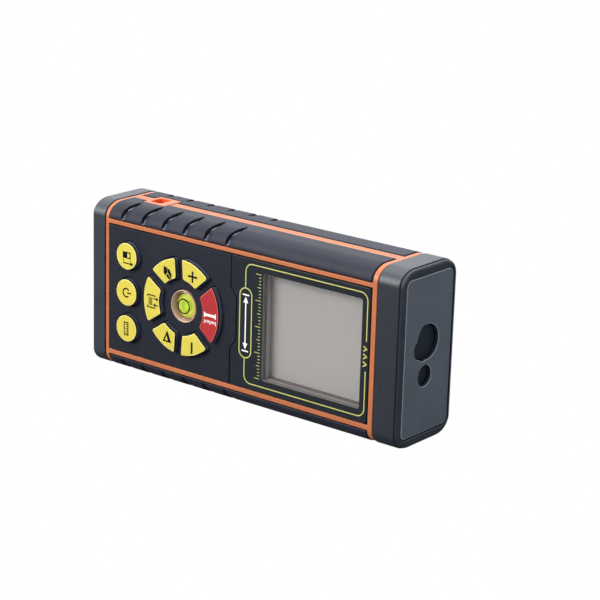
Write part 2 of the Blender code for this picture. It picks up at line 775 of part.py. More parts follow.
def lcd_holder():
    holder = box("lcd_holder", (8.0, 44.6), (LEDGE_Y, LCD_Y[1]), (8.5, 41.5))
    cut(
        holder,
        box("tunnel", (9.8, 42.8), ALL, (10.2, 40.0)),
        box("pocket", widen(LCD_X, GAP), (LCD_Y[0] - GAP, OUT), widen(LCD_Z, GAP)),
        box("flex_slot", (5.0, 9.0), (-8.2, OUT), (19.9, 30.1)),
    )
    finish(holder, HOLDER)


def main_board():
    board = box("main_board", (-46.0, 44.4), BOARD_Y, BOARD_Z)
    for name, x, top, z in CHIPS:
        join(board, box(name, x, (BOARD_Y[1] - CHIP_SINK, top), z))
    finish(board, BOARD)


# ---------------------------------------------------------------- optics
RECEIVER_HOLE_R = 5.0
LASER_HOLE_R = 3.05
LOBE, LOBE_R = (-2.7, 26.1), 2.75  # a second circle that widens the receiver's hole
WINDOW_BACK, WINDOW_FACE, WINDOW_BEVEL = 53.2, 54.1, 0.12
BRACKET_HOLE_R = 1.1
# radius, x
BRACKET_PROFILE = ((0, 16.0), (3.2, 16.0), (6.3, 43.6), (6.3, 52.2), (0, 52.2))
LIGHT_PATH_PROFILE = (
    (0, 10.0), (2.1, 10.0), (2.3, 17.3), (5.2, 42.4),
    (5.2, 47.7), (5.6, 47.9), (5.6, OUT), (0, OUT),
)
BARREL_PROFILE = ((0, 28.6), (2.3, 28.6), (2.3, 30.0), (3.0, 30.0), (3.0, 51.8), (0, 51.8))
LASER_LENS_PROFILE = ((0, 48.8), (2.2, 49.2), (2.2, 50.0), (0, 50.6))
RECEIVER_LENS_PROFILE = (
    (0, 48.6), (2.6, 48.75), (5.3, 49.3), (5.3, 50.1), (2.6, 51.2), (0, 51.6),
)


def nose_plate():
    plate = prism_x("nose_plate", plate_outline(), (PLATE_BACK + GAP, PLATE_FACE))
    cut(
        plate,
        rod("receiver_hole", RECEIVER_HOLE_R, ALL, "X", RECEIVER, 28),
        rod("lobe", LOBE_R, ALL, "X", LOBE, 20),
        rod("laser_hole", LASER_HOLE_R, ALL, "X", LASER, 24),
    )
    finish(plate, PLATE)


def window(name, centre, radius):
    """A disc behind the nose plate, bevelled on its outer face."""
    profile = (
        (0, WINDOW_BACK),
        (radius, WINDOW_BACK),
        (radius, WINDOW_FACE - WINDOW_BEVEL),
        (radius - WINDOW_BEVEL, WINDOW_FACE),
        (0, WINDOW_FACE),
    )
    finish(turned(name, profile, "X", centre, 24), DARK_GLASS)


def optical_bracket():
    """The casting with the receiver's cone, the barrel's clamp and a flat web."""
    bracket = turned("optical_bracket", BRACKET_PROFILE, "X", RECEIVER, 20)
    join(
        bracket,
        rod("clamp", 4.5, (33.0, 46.0), "X", LASER, 18),
        box("web", (17.0, 45.0), (-0.2, 1.4), about(MID_Z, 13.0)),
    )
    cut(
        bracket,
        turned("light_path", LIGHT_PATH_PROFILE, "X", RECEIVER, 20),
        rod("barrel_bore", 3.3, (25.0, OUT), "X", LASER, 18),
        box("barrel_way", (25.0, 32.7), (-3.0, 3.0), about(LASER_Z, 3.6)),
        *[rod("screw_hole", BRACKET_HOLE_R, (-5.0, 5.0), "Y", at, 12) for at in BRACKET_SCREWS],
    )
    finish(bracket, ZINC)


def laser_barrel():
    barrel = turned("laser_barrel", BARREL_PROFILE, "X", LASER, 18)
    finish(cut(barrel, rod("mouth", 2.5, (46.5, OUT), "X", LASER, 18)), BRASS)


# ---------------------------------------------------------------- power
DOOR_THICK = 1.5
PIN_R = 0.4
PIN_OUT, PIN_IN = 0.9, 1.0  # hinge pins beyond and inside the door's ends
THUMB_LINES = ((-44.0, 5.0), (-42.2, 4.2), (-40.4, 3.4))  # x, half length
THUMB_LINE_HALF, THUMB_LINE_DEPTH = 0.35, 0.5
CELL_R, CELL_LENGTH = 5.25, 44.5
SPRING_TURNS, SPRING_STEPS = 3.5, 10  # steps are per turn
SPRING_BASE_R, SPRING_TIP_R = 3.3, 1.9
WIRE_R, WIRE_SIDES = 0.3, 5


def back_cover():
    outline = rounded(PANEL_X, PANEL_Z, (PANEL_CORNER, PANEL_CORNER), 2)
    cover = prism_y("back_cover", outline, (BACK_Y - PANEL_THICK, BACK_Y))
    cut(
        cover,
        box("door_way", DOOR_OPEN_X, ALL, DOOR_OPEN_Z),
        box("pin_notch", about(HINGE_X, 0.55), (10.0, 12.15), about(MID_Z, 13.0)),
        *[rod("head_hole", SCREW_HEAD_HOLE_R, ALL, "Y", at, 16) for at in CASE_SCREWS],
    )
    finish(cover, NAVY)


def battery_door():
    """The door with its hinge pins and three grooves at the far end from them."""
    tail, hinge = DOOR_X
    inner, outer = BACK_Y - DOOR_THICK, BACK_Y
    profile = [
        # x, y
        (tail, inner), (hinge - 0.3, inner), (hinge, inner + 0.4),
        (hinge, outer - 0.4), (hinge - 0.3, outer), (tail, outer),
    ]
    door = loft("battery_door", [[(x, y, z) for x, y in profile] for z in DOOR_Z])
    low, high = DOOR_Z
    join(
        door,
        rod("pin", PIN_R, (low - PIN_OUT, low + PIN_IN), "Z", HINGE, 12),
        rod("pin", PIN_R, (high - PIN_IN, high + PIN_OUT), "Z", HINGE, 12),
    )
    line_y = (BACK_Y - THUMB_LINE_DEPTH, OUT)
    for x, half in THUMB_LINES:
        cut(door, box("thumb_line", about(x, THUMB_LINE_HALF), line_y, about(MID_Z, half)))
    finish(door, NAVY, (HINGE_X, HINGE_Y, MID_Z))


def cell(name, z, plus_end, side):
    """A cylinder cell; side is the x direction in which its raised plus contact points."""
    minus_end = plus_end - side * CELL_LENGTH
    shoulder = plus_end - side * 0.9
    profile = [
        (0, minus_end), (4.6, minus_end), (CELL_R, minus_end + side * 0.5),
        (CELL_R, plus_end - side * 1.6), (4.7, shoulder), (1.9, shoulder),
        (1.9, plus_end), (0, plus_end),
    ]
    finish(turned(name, profile, "X", (CELL_Y, z), 20), CELL)


def spring(name, z, x_base, x_tip):
    """A conical contact spring, wide at its plate."""
    count = int(SPRING_TURNS * SPRING_STEPS)
    pitch = (x_tip - x_base) / (2 * math.pi * SPRING_TURNS)  # per radian
    sides = [2 * math.pi * k / WIRE_SIDES for k in range(WIRE_SIDES)]
    rings = []
    for i in range(count + 1):
        share = i / count
        angle = 2 * math.pi * SPRING_TURNS * share
        radius = SPRING_BASE_R - (SPRING_BASE_R - SPRING_TIP_R) * share
        outward = Vector((0.0, math.cos(angle), math.sin(angle)))
        along = Vector((pitch, -radius * math.sin(angle), radius * math.cos(angle))).normalized()
        across = along.cross(outward)
        centre = Vector((x_base + (x_tip - x_base) * share, CELL_Y, z)) + outward * radius
        rings.append(
            [centre + WIRE_R * (math.cos(b) * outward + math.sin(b) * across) for b in sides]
        )
    finish(loft(name, rings), STEEL)


# ---------------------------------------------------------------- fasteners
CASE_HEAD_R, CASE_SHANK_R = 1.9, 1.0
CASE_HEAD_Y, CASE_HEAD_HEIGHT, CASE_TIP_Y = 10.7, 1.4, -4.6
CROSS_HALF_WIDTH, CROSS_HALF_LENGTH = 0.14 * CASE_HEAD_R, 0.6 * CASE_HEAD_R
CROSS_DEPTHS = (0.6, 0.65)
# radius, y
CASE_SCREW_PROFILE = (
    (0, CASE_TIP_Y), (CASE_SHANK_R * 0.5, CASE_TIP_Y + 0.4), (CASE_SHANK_R, CASE_TIP_Y + 1.2),
    (CASE_SHANK_R, CASE_HEAD_Y - CASE_HEAD_HEIGHT), (CASE_HEAD_R, CASE_HEAD_Y - CASE_HEAD_HEIGHT),
    (CASE_HEAD_R, CASE_HEAD_Y - 0.35), (CASE_HEAD_R * 0.7, CASE_HEAD_Y), (0, CASE_HEAD_Y),
)
BRACKET_SCREW_PROFILE = (
    (0, -1.9), (1.1, -1.9), (1.6, -1.5), (1.6, -0.5),
    (0.8, -0.5), (0.8, 7.0), (0.4, 8.0), (0, 8.4),
)


def case_screw(name, at):
    """A pan head screw driven along -Y, with a cross recess."""
    body = turned(name, CASE_SCREW_PROFILE, "Y", at, 14)
    halves = (CROSS_HALF_LENGTH, CROSS_HALF_WIDTH)
    for depth, (half_x, half_z) in zip(CROSS_DEPTHS, (halves, halves[::-1])):
        slot_y = (CASE_HEAD_Y - depth, CASE_HEAD_Y + 1.0)
        cut(body, box("cross", about(at[0], half_x), slot_y, about(at[1], half_z)))
    finish(body, STEEL)


def bracket_screw(name, at):
    """A plain screw driven along +Y into a post of the rear housing."""
    finish(turned(name, BRACKET_SCREW_PROFILE, "Y", at, 14), STEEL)


# ---------------------------------------------------------------- plain blocks
CONTACT_Y = about(CELL_Y, 4.0)
CONTACT_X = (-47.45, -47.1)
# name, x range, y range, z range, material
BLOCKS = (
    ("lcd_panel", LCD_X, LCD_Y, LCD_Z, LCD),
    ("lcd_flex", (5.2, 8.8), (-7.8, -7.6), (20.3, 29.7), FLEX),
    ("sensor_board", (14.5, 15.5), (-5.6, 6.8), (21.4, 36.0), BOARD),
    ("sensor_shield", (11.2, 14.2), (-4.4, 5.6), (23.7, 33.7), STEEL),
    ("contact_front", (1.6, 1.95), about(CELL_Y, 4.5), about(MID_Z, 9.8), STEEL),
    ("contact_plus", CONTACT_X, CONTACT_Y, about(CELL_LOW, 4.0), STEEL),
    ("contact_minus", CONTACT_X, CONTACT_Y, about(CELL_HIGH, 4.0), STEEL),
)


# ---------------------------------------------------------------- assembly
front_housing()
rear_housing()
nose_cap()
tail_cap()
grip_pad("grip_upper_front", -1, 1)
grip_pad("grip_upper_back", 1, 1)
grip_pad("grip_lower_front", -1, -1)
grip_pad("grip_lower_back", 1, -1)
strap_eyelet()

keypad_panel()
for key_name in KEYS:
    key_cap(key_name)
dome_sheet()
level()
display_bezel()
display_window()
lcd_holder()
main_board()
finish(turned("buzzer", BUZZER_PROFILE, "Y", (-18.0, 25.0), 20), BLACK)

nose_plate()
window("receiver_window", RECEIVER, 5.6)
window("laser_window", LASER, 3.4)
optical_bracket()
laser_barrel()
finish(turned("laser_lens", LASER_LENS_PROFILE, "X", LASER, 18), GLASS)
finish(turned("receiver_lens", RECEIVER_LENS_PROFILE, "X", RECEIVER, 24), GLASS)

back_cover()
battery_door()
cell("battery_1", CELL_HIGH, 0.95, 1)
cell("battery_2", CELL_LOW, -46.75, -1)
spring("battery_spring_1", CELL_HIGH, -46.75, -44.25)
spring("battery_spring_2", CELL_LOW, 1.15, -1.55)

for block_name, *ranges, block_material in BLOCKS:
    finish(box(block_name, *ranges), block_material)
for number, place in enumerate(CASE_SCREWS, 1):
    case_screw(f"case_screw_{number}", place)
for number, place in enumerate(BRACKET_SCREWS, 1):
    bracket_screw(f"bracket_screw_{number}", place)
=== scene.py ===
"""Looks of a hand-held laser distance meter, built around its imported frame.

The body lies along X with its nose towards +X. The keys and the display look towards -Y,
the battery door towards +Y, and the strap eyelet is on the +Z side. Lengths are in
millimetres: X and Y from the middle of the body, Z from its low side. place() turns them
into metres in the frame.
"""

import math
from collections import namedtuple

import bmesh
import bpy
from mathutils import Matrix, Vector


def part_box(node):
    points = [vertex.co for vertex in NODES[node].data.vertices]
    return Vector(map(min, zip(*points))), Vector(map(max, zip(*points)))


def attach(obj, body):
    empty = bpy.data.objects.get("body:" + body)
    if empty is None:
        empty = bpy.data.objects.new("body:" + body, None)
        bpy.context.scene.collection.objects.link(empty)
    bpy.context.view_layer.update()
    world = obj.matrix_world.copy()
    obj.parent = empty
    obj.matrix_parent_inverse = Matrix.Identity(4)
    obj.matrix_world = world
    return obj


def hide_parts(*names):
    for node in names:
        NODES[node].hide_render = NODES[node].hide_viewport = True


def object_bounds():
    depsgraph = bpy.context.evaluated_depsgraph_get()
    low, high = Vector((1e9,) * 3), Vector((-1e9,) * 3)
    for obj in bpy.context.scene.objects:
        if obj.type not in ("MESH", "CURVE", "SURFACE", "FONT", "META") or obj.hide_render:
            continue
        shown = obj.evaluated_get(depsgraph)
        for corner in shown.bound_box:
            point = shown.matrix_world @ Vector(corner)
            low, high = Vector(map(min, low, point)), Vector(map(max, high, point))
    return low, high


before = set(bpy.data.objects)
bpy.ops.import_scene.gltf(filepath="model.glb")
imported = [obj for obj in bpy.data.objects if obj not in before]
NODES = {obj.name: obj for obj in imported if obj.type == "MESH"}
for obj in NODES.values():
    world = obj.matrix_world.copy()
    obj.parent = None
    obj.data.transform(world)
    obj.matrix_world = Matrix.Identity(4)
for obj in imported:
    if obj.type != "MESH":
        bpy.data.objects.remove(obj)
CAD_LO, CAD_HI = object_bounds()
MM = 0.001
BACK = 12.5
SHIFT_Y = CAD_HI.y / MM - BACK  # from the body's middle to the frame's origin
Span = namedtuple("Span", "x y z")


def place(point):
    return Vector((point[0] * MM, (point[1] + SHIFT_Y) * MM, point[2] * MM))


def span(node):
    """A CAD node's extent as (low, high) pairs in millimetres."""
    low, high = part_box(node)
    return Span(*[
        (round(low[i] / MM - shift, 3), round(high[i] / MM - shift, 3))
        for i, shift in enumerate((0.0, SHIFT_Y, 0.0))
    ])


# ---------------------------------------------------------------- sizes
# extents of the CAD pieces
HOUSING = span("front_housing")
NOSE = span("nose_cap")
PANEL = span("keypad_panel")
BEZEL = span("display_bezel")
WINDOW = span("display_window")
HOLDER = span("lcd_holder")
LCD = span("lcd_panel")
TAIL = span("tail_cap")
PLATE = span("nose_plate")
COVER = span("back_cover")
DOOR = span("battery_door")
EYELET = span("strap_eyelet")
LEVEL = span("level_bezel")
KEY_TOP = span("key_clear").y[0]

# body section and the orange frame
FRONT = -BACK
WIDTH = NOSE.z[1]
MID_Z = WIDTH / 2
GAP = 0.3  # between neighbouring parts
CORNER_Y, CORNER_Z = 6.0, 4.5  # radii of the elliptical corners
CORNER_STEPS = 14
REAR_BAND = (HOUSING.x[0], HOUSING.x[0] + 1.2)
FRONT_BAND = (HOUSING.x[1] - 1.6, HOUSING.x[1])
STRIP_LOW = (4.3, PANEL.z[0] - GAP)
STRIP_HIGH = (PANEL.z[1] + GAP, 45.3)
SIDE_STRIP = 1.6  # half width
SINK = 0.2  # bands and strips below the caps and pads
PAD_THICK = 0.95
PAD_RECESS = PAD_THICK + GAP
WALL_INSET = 2.65
TONGUE = 0.7
PARTING = 0.13  # each frame half stops this far from y = 0
LEDGE = FRONT + round(PANEL.y[1] - PANEL.y[0], 3) + GAP
CASE_SCREWS = ((-33.0, 8.6), (-33.0, 41.4), (40.0, 8.6), (40.0, 41.4))
BRACKET_SCREWS = ((20.0, 14.5), (20.0, 35.5))

# strap eyelet and grip pads
EYELET_HALF = (EYELET.y[1] - EYELET.y[0]) / 2
EYELET_SLOT = (EYELET.x[0] - GAP, EYELET.x[1] + GAP)
EYELET_HOLE = (-42.5, -38.6)
NOTCH_FIRST, NOTCH_PITCH, NOTCH_COUNT = -44.2, 7.95, 6
EDGE_STEPS = (0.0, 0.03, 0.07, 0.12, 0.18, 0.25, 0.34, 0.5)  # distances from a pad's border

# keys: a ring of six round the level, and a row of three round ones
RING_X, RING_OUT, RING_IN = -19.8, 14.3, 8.2
RING_CENTRE = (RING_X, MID_Z)
RING_GAP, KEY_ROUND = 1.25, 0.8  # half gap between ring keys, their corner radius
RING_GAPS = {  # directions in degrees of the gaps beside each key
    "key_measure": (-41.0, 41.0),
    "key_plus": (41.0, 94.3),
    "key_area": (94.3, 146.0),
    "key_memory": (146.0, 214.0),
    "key_indirect": (214.0, 265.7),
    "key_minus": (265.7, 319.0),
}
ROUND_KEY_X, ROUND_KEY_R = -40.9, 4.05
ROUND_KEYS = {"key_reference": 10.9, "key_clear": 0.0, "key_unit": -10.9}  # z from the middle
KEYS = list(RING_GAPS) + list(ROUND_KEYS)
KEY_EDGE = 0.42
FLANGE, FLANGE_Y = 0.8, (LEDGE, LEDGE + 0.8)
PLUNGER_Y, PLUNGER_R = -8.5, 1.5
LEVEL_FLANGE = 0.8
LEVEL_R = (LEVEL.x[1] - LEVEL.x[0]) / 2 - LEVEL_FLANGE
SEAM_X, SEAM_BULGE = -2.65, 2.2  # seam between keypad and display faces

# nose openings as (y, z), and the cell bay
RECEIVER, RECEIVER_R = (0.6, 28.7), 5.0
LASER, LASER_R = (-0.35, 19.0), 3.05
CELL_R, CELL_Y = 5.25, 5.4
CELL_Z = (MID_Z - 5.6, MID_Z + 5.6)
BAY_X, BAY_Z = (-47.7, 2.2), (13.8, 36.2)
DOOR_X, DOOR_Z = DOOR.x, (13.1, 36.9)
DOOR_THICK = 1.5
DOOR_OPEN_X = (DOOR_X[0] - GAP, DOOR_X[1] + 0.5)
DOOR_OPEN_Z = (DOOR_Z[0] - GAP, DOOR_Z[1] + GAP)
HINGE_X, HINGE_Y = 4.1, 11.7


# ---------------------------------------------------------------- materials
MATERIALS = {}


class Nodes:
    """The node tree of a material or a world, emptied and ready to fill."""

    def __init__(self, owner):
        owner.use_nodes = True
        self.tree = owner.node_tree
        self.tree.nodes.clear()

    def link(self, output, socket):
        self.tree.links.new(output, socket)

    def node(self, kind, inputs=None, **settings):
        node = self.tree.nodes.new(kind)
        for name, value in settings.items():
            setattr(node, name, value)
        for key, value in (inputs or {}).items():
            self.put(node.inputs[key], value)
        return node

    def put(self, socket, value):
        if isinstance(value, bpy.types.NodeSocket):
            self.link(value, socket)
        elif isinstance(value, tuple) and len(value) == 3 and socket.type == "RGBA":
            socket.default_value = (*value, 1.0)
        else:
            socket.default_value = value

    def maths(self, operation, first, second):
        inputs = {0: first, 1: second}
        return self.node("ShaderNodeMath", inputs, operation=operation).outputs[0]

    def mix_shaders(self, share, first, second):
        return self.node("ShaderNodeMixShader", {0: share, 1: first, 2: second}).outputs[0]


class Material(Nodes):
    """A node material whose pattern coordinates are millimetres in the frame."""

    def __init__(self, key, name):
        MATERIALS[key] = bpy.data.materials.new(name)
        super().__init__(MATERIALS[key])
        self.out = self.node("ShaderNodeOutputMaterial")
        inputs = {0: self.node("ShaderNodeTexCoord").outputs["Object"], "Scale": 1000.0}
        self.coords = self.node("ShaderNodeVectorMath", inputs, operation="SCALE").outputs[0]

    def noise(self, scale, detail=3.0, rough=0.55, stretch=None, offset=(0, 0, 0)):
        vector = self.coords
        if stretch or any(offset):
            inputs = {"Scale": stretch or (1, 1, 1), "Location": offset, "Vector": vector}
            vector = self.node("ShaderNodeMapping", inputs).outputs[0]
        inputs = {"Scale": scale, "Detail": detail, "Roughness": rough, "Vector": vector}
        return self.node("ShaderNodeTexNoise", inputs).outputs["Fac"]

    def along_x(self):
        return self.node("ShaderNodeSeparateXYZ", {0: self.coords}).outputs[0]

    def mix(self, share, first, second, blend="MIX"):
        inputs = {0: share, 6: first, 7: second}
        node = self.node("ShaderNodeMix", inputs, data_type="RGBA", blend_type=blend)
        return node.outputs[2]

    def remap(self, value, source, to=(0.0, 1.0)):
        """Carries the source range of a value over to another range."""
        inputs = dict(enumerate((value, *source, *to)))
        return self.node("ShaderNodeMapRange", inputs).outputs[0]

    def edge(self, radius=0.25):
        """1 along convex and concave edges, 0 on plain surfaces."""
        bevel = self.node("ShaderNodeBevel", {"Radius": radius * MM}, samples=4)
        geometry = self.node("ShaderNodeNewGeometry")
        inputs = {0: bevel.outputs[0], 1: geometry.outputs["Normal"]}
        dot = self.node("ShaderNodeVectorMath", inputs, operation="DOT_PRODUCT")
        turned_away = self.maths("SUBTRACT", 1.0, dot.outputs["Value"])
        return self.remap(turned_away, (0.02, 0.22))

    def bump(self, height, distance, strength=1.0, normal=None):
        inputs = {"Strength": strength, "Distance": distance * MM, "Height": height}
        if normal is not None:
            inputs["Normal"] = normal
        return self.node("ShaderNodeBump", inputs).outputs[0]

    def surface(self, shader):
        self.link(shader, self.out.inputs["Surface"])

    def shade(self, **values):
        inputs = {name.replace("_", " "): value for name, value in values.items()}
        self.surface(self.node("ShaderNodeBsdfPrincipled", inputs).outputs[0])


def srgb(*channels):
    def linear(value):
        value /= 255.0
        return value / 12.92 if value <= 0.04045 else ((value + 0.055) / 1.055) ** 2.4

    return tuple(linear(value) for value in channels)


def moulded(key, name, base, second, rough, grain=(5.0, 0.012), patch=0.06, edge=None,
            edge_highlight_share=0.3, specular=0.35, coat=0.0, orange_peel=0.02, sheen=0.0, speckle=0.0):
    """Moulded plastic or rubber: two close tones in soft patches, a fine grain, a patchy painted
    highlight along the edges.

    grain is the fine grain's (scale, depth); patch the swing in brightness; edge the tone of the
    painted edge highlight.
    """
    tree = Material(key, name)
    base, second = srgb(*base), srgb(*second)
    broad = tree.noise(0.07, detail=2.0, rough=0.5)
    middle = tree.noise(1.3, detail=4.0, rough=0.6, offset=(3.1, 7.7, 1.3))
    fine = tree.noise(grain[0], rough=0.6)
    tone = tree.mix(tree.remap(broad, (0.3, 0.7)), base, second)
    value = tree.remap(middle, (0.25, 0.75), to=(1.0 - patch, 1.0 + patch))
    grey = tree.node("ShaderNodeCombineColor", dict.fromkeys(range(3), value))
    colour = tree.mix(1.0, tone, grey.outputs[0], "MULTIPLY")
    if speckle:
        dots = tree.noise(3.4, detail=2.0, rough=0.5, offset=(9.0, 2.0, 4.0))
        dots = tree.remap(dots, (0.56, 0.70), to=(0.0, speckle))
        colour = tree.mix(dots, colour, tuple(min(1.0, c * 1.5 + 0.02) for c in base))
    roughness = tree.remap(middle, (0.2, 0.8), to=(rough - 0.05, rough + 0.07))
    # painted highlight: edges found by the bevel mask are mixed towards the lighter edge tone,
    # patchy along their run, and made a touch glossier
    if edge:
        border = tree.edge()
        unevenness = tree.noise(0.9, rough=0.6, offset=(5, 1, 9))
        unevenness = tree.remap(unevenness, (0.25, 0.7), to=(edge_highlight_share * 0.55, edge_highlight_share))
        highlight_mask = tree.maths("MULTIPLY", border, unevenness)
        colour = tree.mix(highlight_mask, colour, srgb(*edge))
        polish = tree.maths("MULTIPLY", highlight_mask, 0.12)
        roughness = tree.maths("SUBTRACT", roughness, polish)
    normal = tree.bump(middle, orange_peel, strength=0.5)
    normal = tree.bump(fine, grain[1], normal=normal)
    extras = {}
    if coat:
        extras.update(Coat_Weight=coat, Coat_Roughness=0.12)
    if sheen:
        extras.update(Sheen_Weight=sheen, Sheen_Roughness=0.5, Sheen_Tint=(0.75, 0.8, 1.0))
    tree.shade(Base_Color=colour, Roughness=roughness, Normal=normal,
               Specular_IOR_Level=specular, **extras)


def metal(key, name, base, rough, brushed=(1, 1, 1), dark=0.25):
    """Bare or plated metal: brushed lines, dark stains and edges made a third lighter."""
    tree = Material(key, name)
    lines = tree.noise(4.0, detail=5.0, rough=0.65, stretch=brushed)
    stain = tree.noise(0.35, detail=4.0, rough=0.6, offset=(2, 4, 6))
    stain = tree.remap(stain, (0.35, 0.75), to=(0.0, dark))
    colour = tree.mix(stain, base, tuple(c * 0.45 for c in base))
    # edges a third lighter in colour
    lighter_edges = tree.maths("MULTIPLY", tree.edge(radius=0.15), 0.35)
    colour = tree.mix(lighter_edges, colour, tuple(min(1.0, c * 1.35) for c in base))
    tree.shade(
        Base_Color=colour,
        Metallic=1.0,
        Roughness=tree.remap(lines, (0.25, 0.75), to=(rough - 0.08, rough + 0.1)),
        Normal=tree.bump(lines, 0.01, strength=0.6),
    )


def clear(key, name, tint, rough, shine, haze=0.0, inner=1.0):
    """Clear moulded plastic: passes light and mirrors a little more at a slant."""
    tree = Material(key, name)
    see = tree.node("ShaderNodeBsdfTransparent", {"Color": tint})
    smear = tree.noise(0.22, rough=0.6)
    gloss = tree.node("ShaderNodeBsdfGlossy", {
        "Roughness": tree.remap(smear, (0.3, 0.7), to=(rough, rough + 0.06)),
        "Normal": tree.bump(tree.noise(0.5, detail=2.0, rough=0.5), 0.004, strength=0.4),
    })
    fresnel = tree.node("ShaderNodeFresnel", {"IOR": 1.42})
    mirror = tree.maths("ADD", tree.maths("MULTIPLY", fresnel.outputs[0], shine), haze)
    if inner < 1.0:
        # a thin pane mirrors less on its far side
        backfacing = tree.node("ShaderNodeNewGeometry").outputs["Backfacing"]
        far = tree.maths("MULTIPLY", backfacing, 1.0 - inner)
        mirror = tree.maths("MULTIPLY", mirror, tree.maths("SUBTRACT", 1.0, far))
    tree.surface(tree.mix_shaders(mirror, see.outputs[0], gloss.outputs[0]))


def ink(key, colour, rough=0.45, name=None):
    """Pad-printed ink, a touch uneven in cover."""
    tree = Material(key, name or key)
    colour = srgb(*colour)
    cover = tree.noise(3.0, rough=0.6)
    thin = tree.remap(cover, (0.3, 0.8), to=(0.0, 0.35))
    tree.shade(
        Base_Color=tree.mix(thin, colour, tuple(c * 0.8 for c in colour)),
        Roughness=tree.remap(cover, (0.2, 0.8), to=(rough - 0.08, rough + 0.1)),
        Normal=tree.bump(cover, 0.004, strength=0.6),
        Specular_IOR_Level=0.12,
    )


def dark_window():
    tree = Material("window_dark", "window_dark")
    deep = tree.noise(0.18, detail=2.0, rough=0.5)
    tree.shade(
        Base_Color=tree.mix(deep, srgb(30, 35, 42), srgb(34, 39, 47)),
        Roughness=tree.remap(deep, (0.2, 0.8), to=(0.12, 0.22)),
        Specular_IOR_Level=0.12,
        Normal=tree.bump(deep, 0.003, strength=0.5),
    )


def lcd():
    """Grey unpowered display: a faint shade across it and a fine mesh."""
    tree = Material("lcd", "lcd_grey")
    sweep = tree.remap(tree.along_x(), LCD.x)
    colour = tree.mix(sweep, srgb(165, 162, 159), srgb(170, 166, 163))
    mesh = tree.noise(9.0, detail=2.0, rough=0.5)
    thread = tree.remap(mesh, (0.3, 0.7), to=(0.0, 0.08))
    colour = tree.mix(thread, colour, srgb(150, 147, 145))
    cloud = tree.noise(0.12, detail=2.0, rough=0.5)
    cloud = tree.remap(cloud, (0.35, 0.7), to=(0.0, 0.3))
    tree.shade(
        Base_Color=tree.mix(cloud, colour, srgb(162, 158, 158)),
        Roughness=tree.remap(mesh, (0.2, 0.8), to=(0.42, 0.52)),
        Specular_IOR_Level=0.2,
    )


def liquid():
    tree = Material("liquid", "level_green")
    swirl = tree.noise(0.35, rough=0.6)
    colour = tree.mix(tree.remap(swirl, (0.3, 0.7)), srgb(198, 206, 60), srgb(206, 214, 92))
    tree.shade(
        Base_Color=colour,
        Roughness=tree.remap(swirl, (0.2, 0.8), to=(0.12, 0.2)),
        Specular_IOR_Level=0.4,
        # painted light: a faint glow in the liquid's own colour
        Emission_Color=colour,
        Emission_Strength=0.06,
        Normal=tree.bump(swirl, 0.02, strength=0.4),
    )


def bubble():
    tree = Material("bubble", "bubble_green")
    swirl = tree.noise(0.8, detail=2.0, rough=0.5)
    colour = tree.mix(swirl, srgb(176, 214, 62), srgb(200, 226, 84))
    tree.shade(
        Base_Color=colour,
        Roughness=tree.remap(swirl, (0.2, 0.8), to=(0.06, 0.12)),
        Specular_IOR_Level=0.5,
        Coat_Weight=0.5,
        # painted light: a faint glow in the bubble's own colour
        Emission_Color=colour,
        Emission_Strength=0.05,
        Normal=tree.bump(swirl, 0.01, strength=0.3),
    )


def board():
    """Solder mask with the shade of tracks under it."""
    tree = Material("board", "board_green")
    brick = tree.node("ShaderNodeTexBrick", {
        "Scale": 0.35,
        "Mortar Size": 0.06,
        "Color1": srgb(22, 92, 52),
        "Color2": srgb(16, 78, 46),
        "Mortar": srgb(40, 124, 70),
        "Vector": tree.coords,
    })
    speck = tree.noise(2.5, rough=0.6)
    dots = tree.remap(speck, (0.62, 0.7), to=(0.0, 0.6))
    tree.shade(
        Base_Color=tree.mix(dots, brick.outputs[0], srgb(188, 190, 176)),
        Roughness=tree.remap(speck, (0.2, 0.8), to=(0.3, 0.42)),
        Normal=tree.bump(speck, 0.01, strength=0.5),
        Coat_Weight=0.3,
    )


def sleeve():
    """Printed sleeve of a plain cell: dark blue, copper from x = -16 towards the nose."""
    tree = Material("sleeve", "cell_sleeve")
    along = tree.along_x()
    unevenness = tree.noise(0.9, detail=4.0, rough=0.6, stretch=(3, 1, 1))
    band = tree.remap(along, (-16.0, -15.8))
    colour = tree.mix(band, srgb(28, 44, 92), srgb(176, 110, 60))
    scuffs = tree.remap(unevenness, (0.5, 0.8), to=(0.0, 0.25))
    tree.shade(
        Base_Color=tree.mix(scuffs, colour, srgb(150, 150, 156)),
        Roughness=tree.remap(unevenness, (0.2, 0.8), to=(0.24, 0.36)),
        Metallic=0.35,
        Coat_Weight=0.4,
        Normal=tree.bump(unevenness, 0.006, strength=0.5),
    )


# edge= in these calls is the tone of a painted highlight along the edges
moulded("orange", "frame_orange", (183, 107, 66), (176, 100, 60), rough=0.42, patch=0.05,
        grain=(6.0, 0.008), edge=(222, 156, 112), edge_highlight_share=0.5, specular=0.36)
moulded("recess", "recess_orange", (216, 84, 34), (204, 72, 28), rough=0.6, patch=0.05,
        grain=(6.0, 0.008), specular=0.15)
# painted shade for the floors of the frame's grooves
moulded("groove", "groove_painted_shade", (40, 22, 20), (32, 20, 22), rough=0.8, patch=0.1, specular=0.04)
moulded("navy", "case_navy", (40, 44, 55), (44, 49, 60), rough=0.44, patch=0.09,
        grain=(5.0, 0.014), edge=(112, 122, 142), edge_highlight_share=0.42, specular=0.55)
# the nose cap's navy: the same plastic as case_navy, painted darker as shade
moulded("navy_nose_painted_shade", "nose_navy_painted_shade", (34, 37, 47), (37, 41, 51), rough=0.44, patch=0.09,
        grain=(5.0, 0.014), edge=(108, 118, 138), edge_highlight_share=0.42, specular=0.55)
moulded("rubber", "grip_rubber", (27, 29, 42), (32, 34, 48), rough=0.55, patch=0.1,
        grain=(4.0, 0.020), edge=(80, 86, 108), edge_highlight_share=0.4, specular=0.22, sheen=0.02)
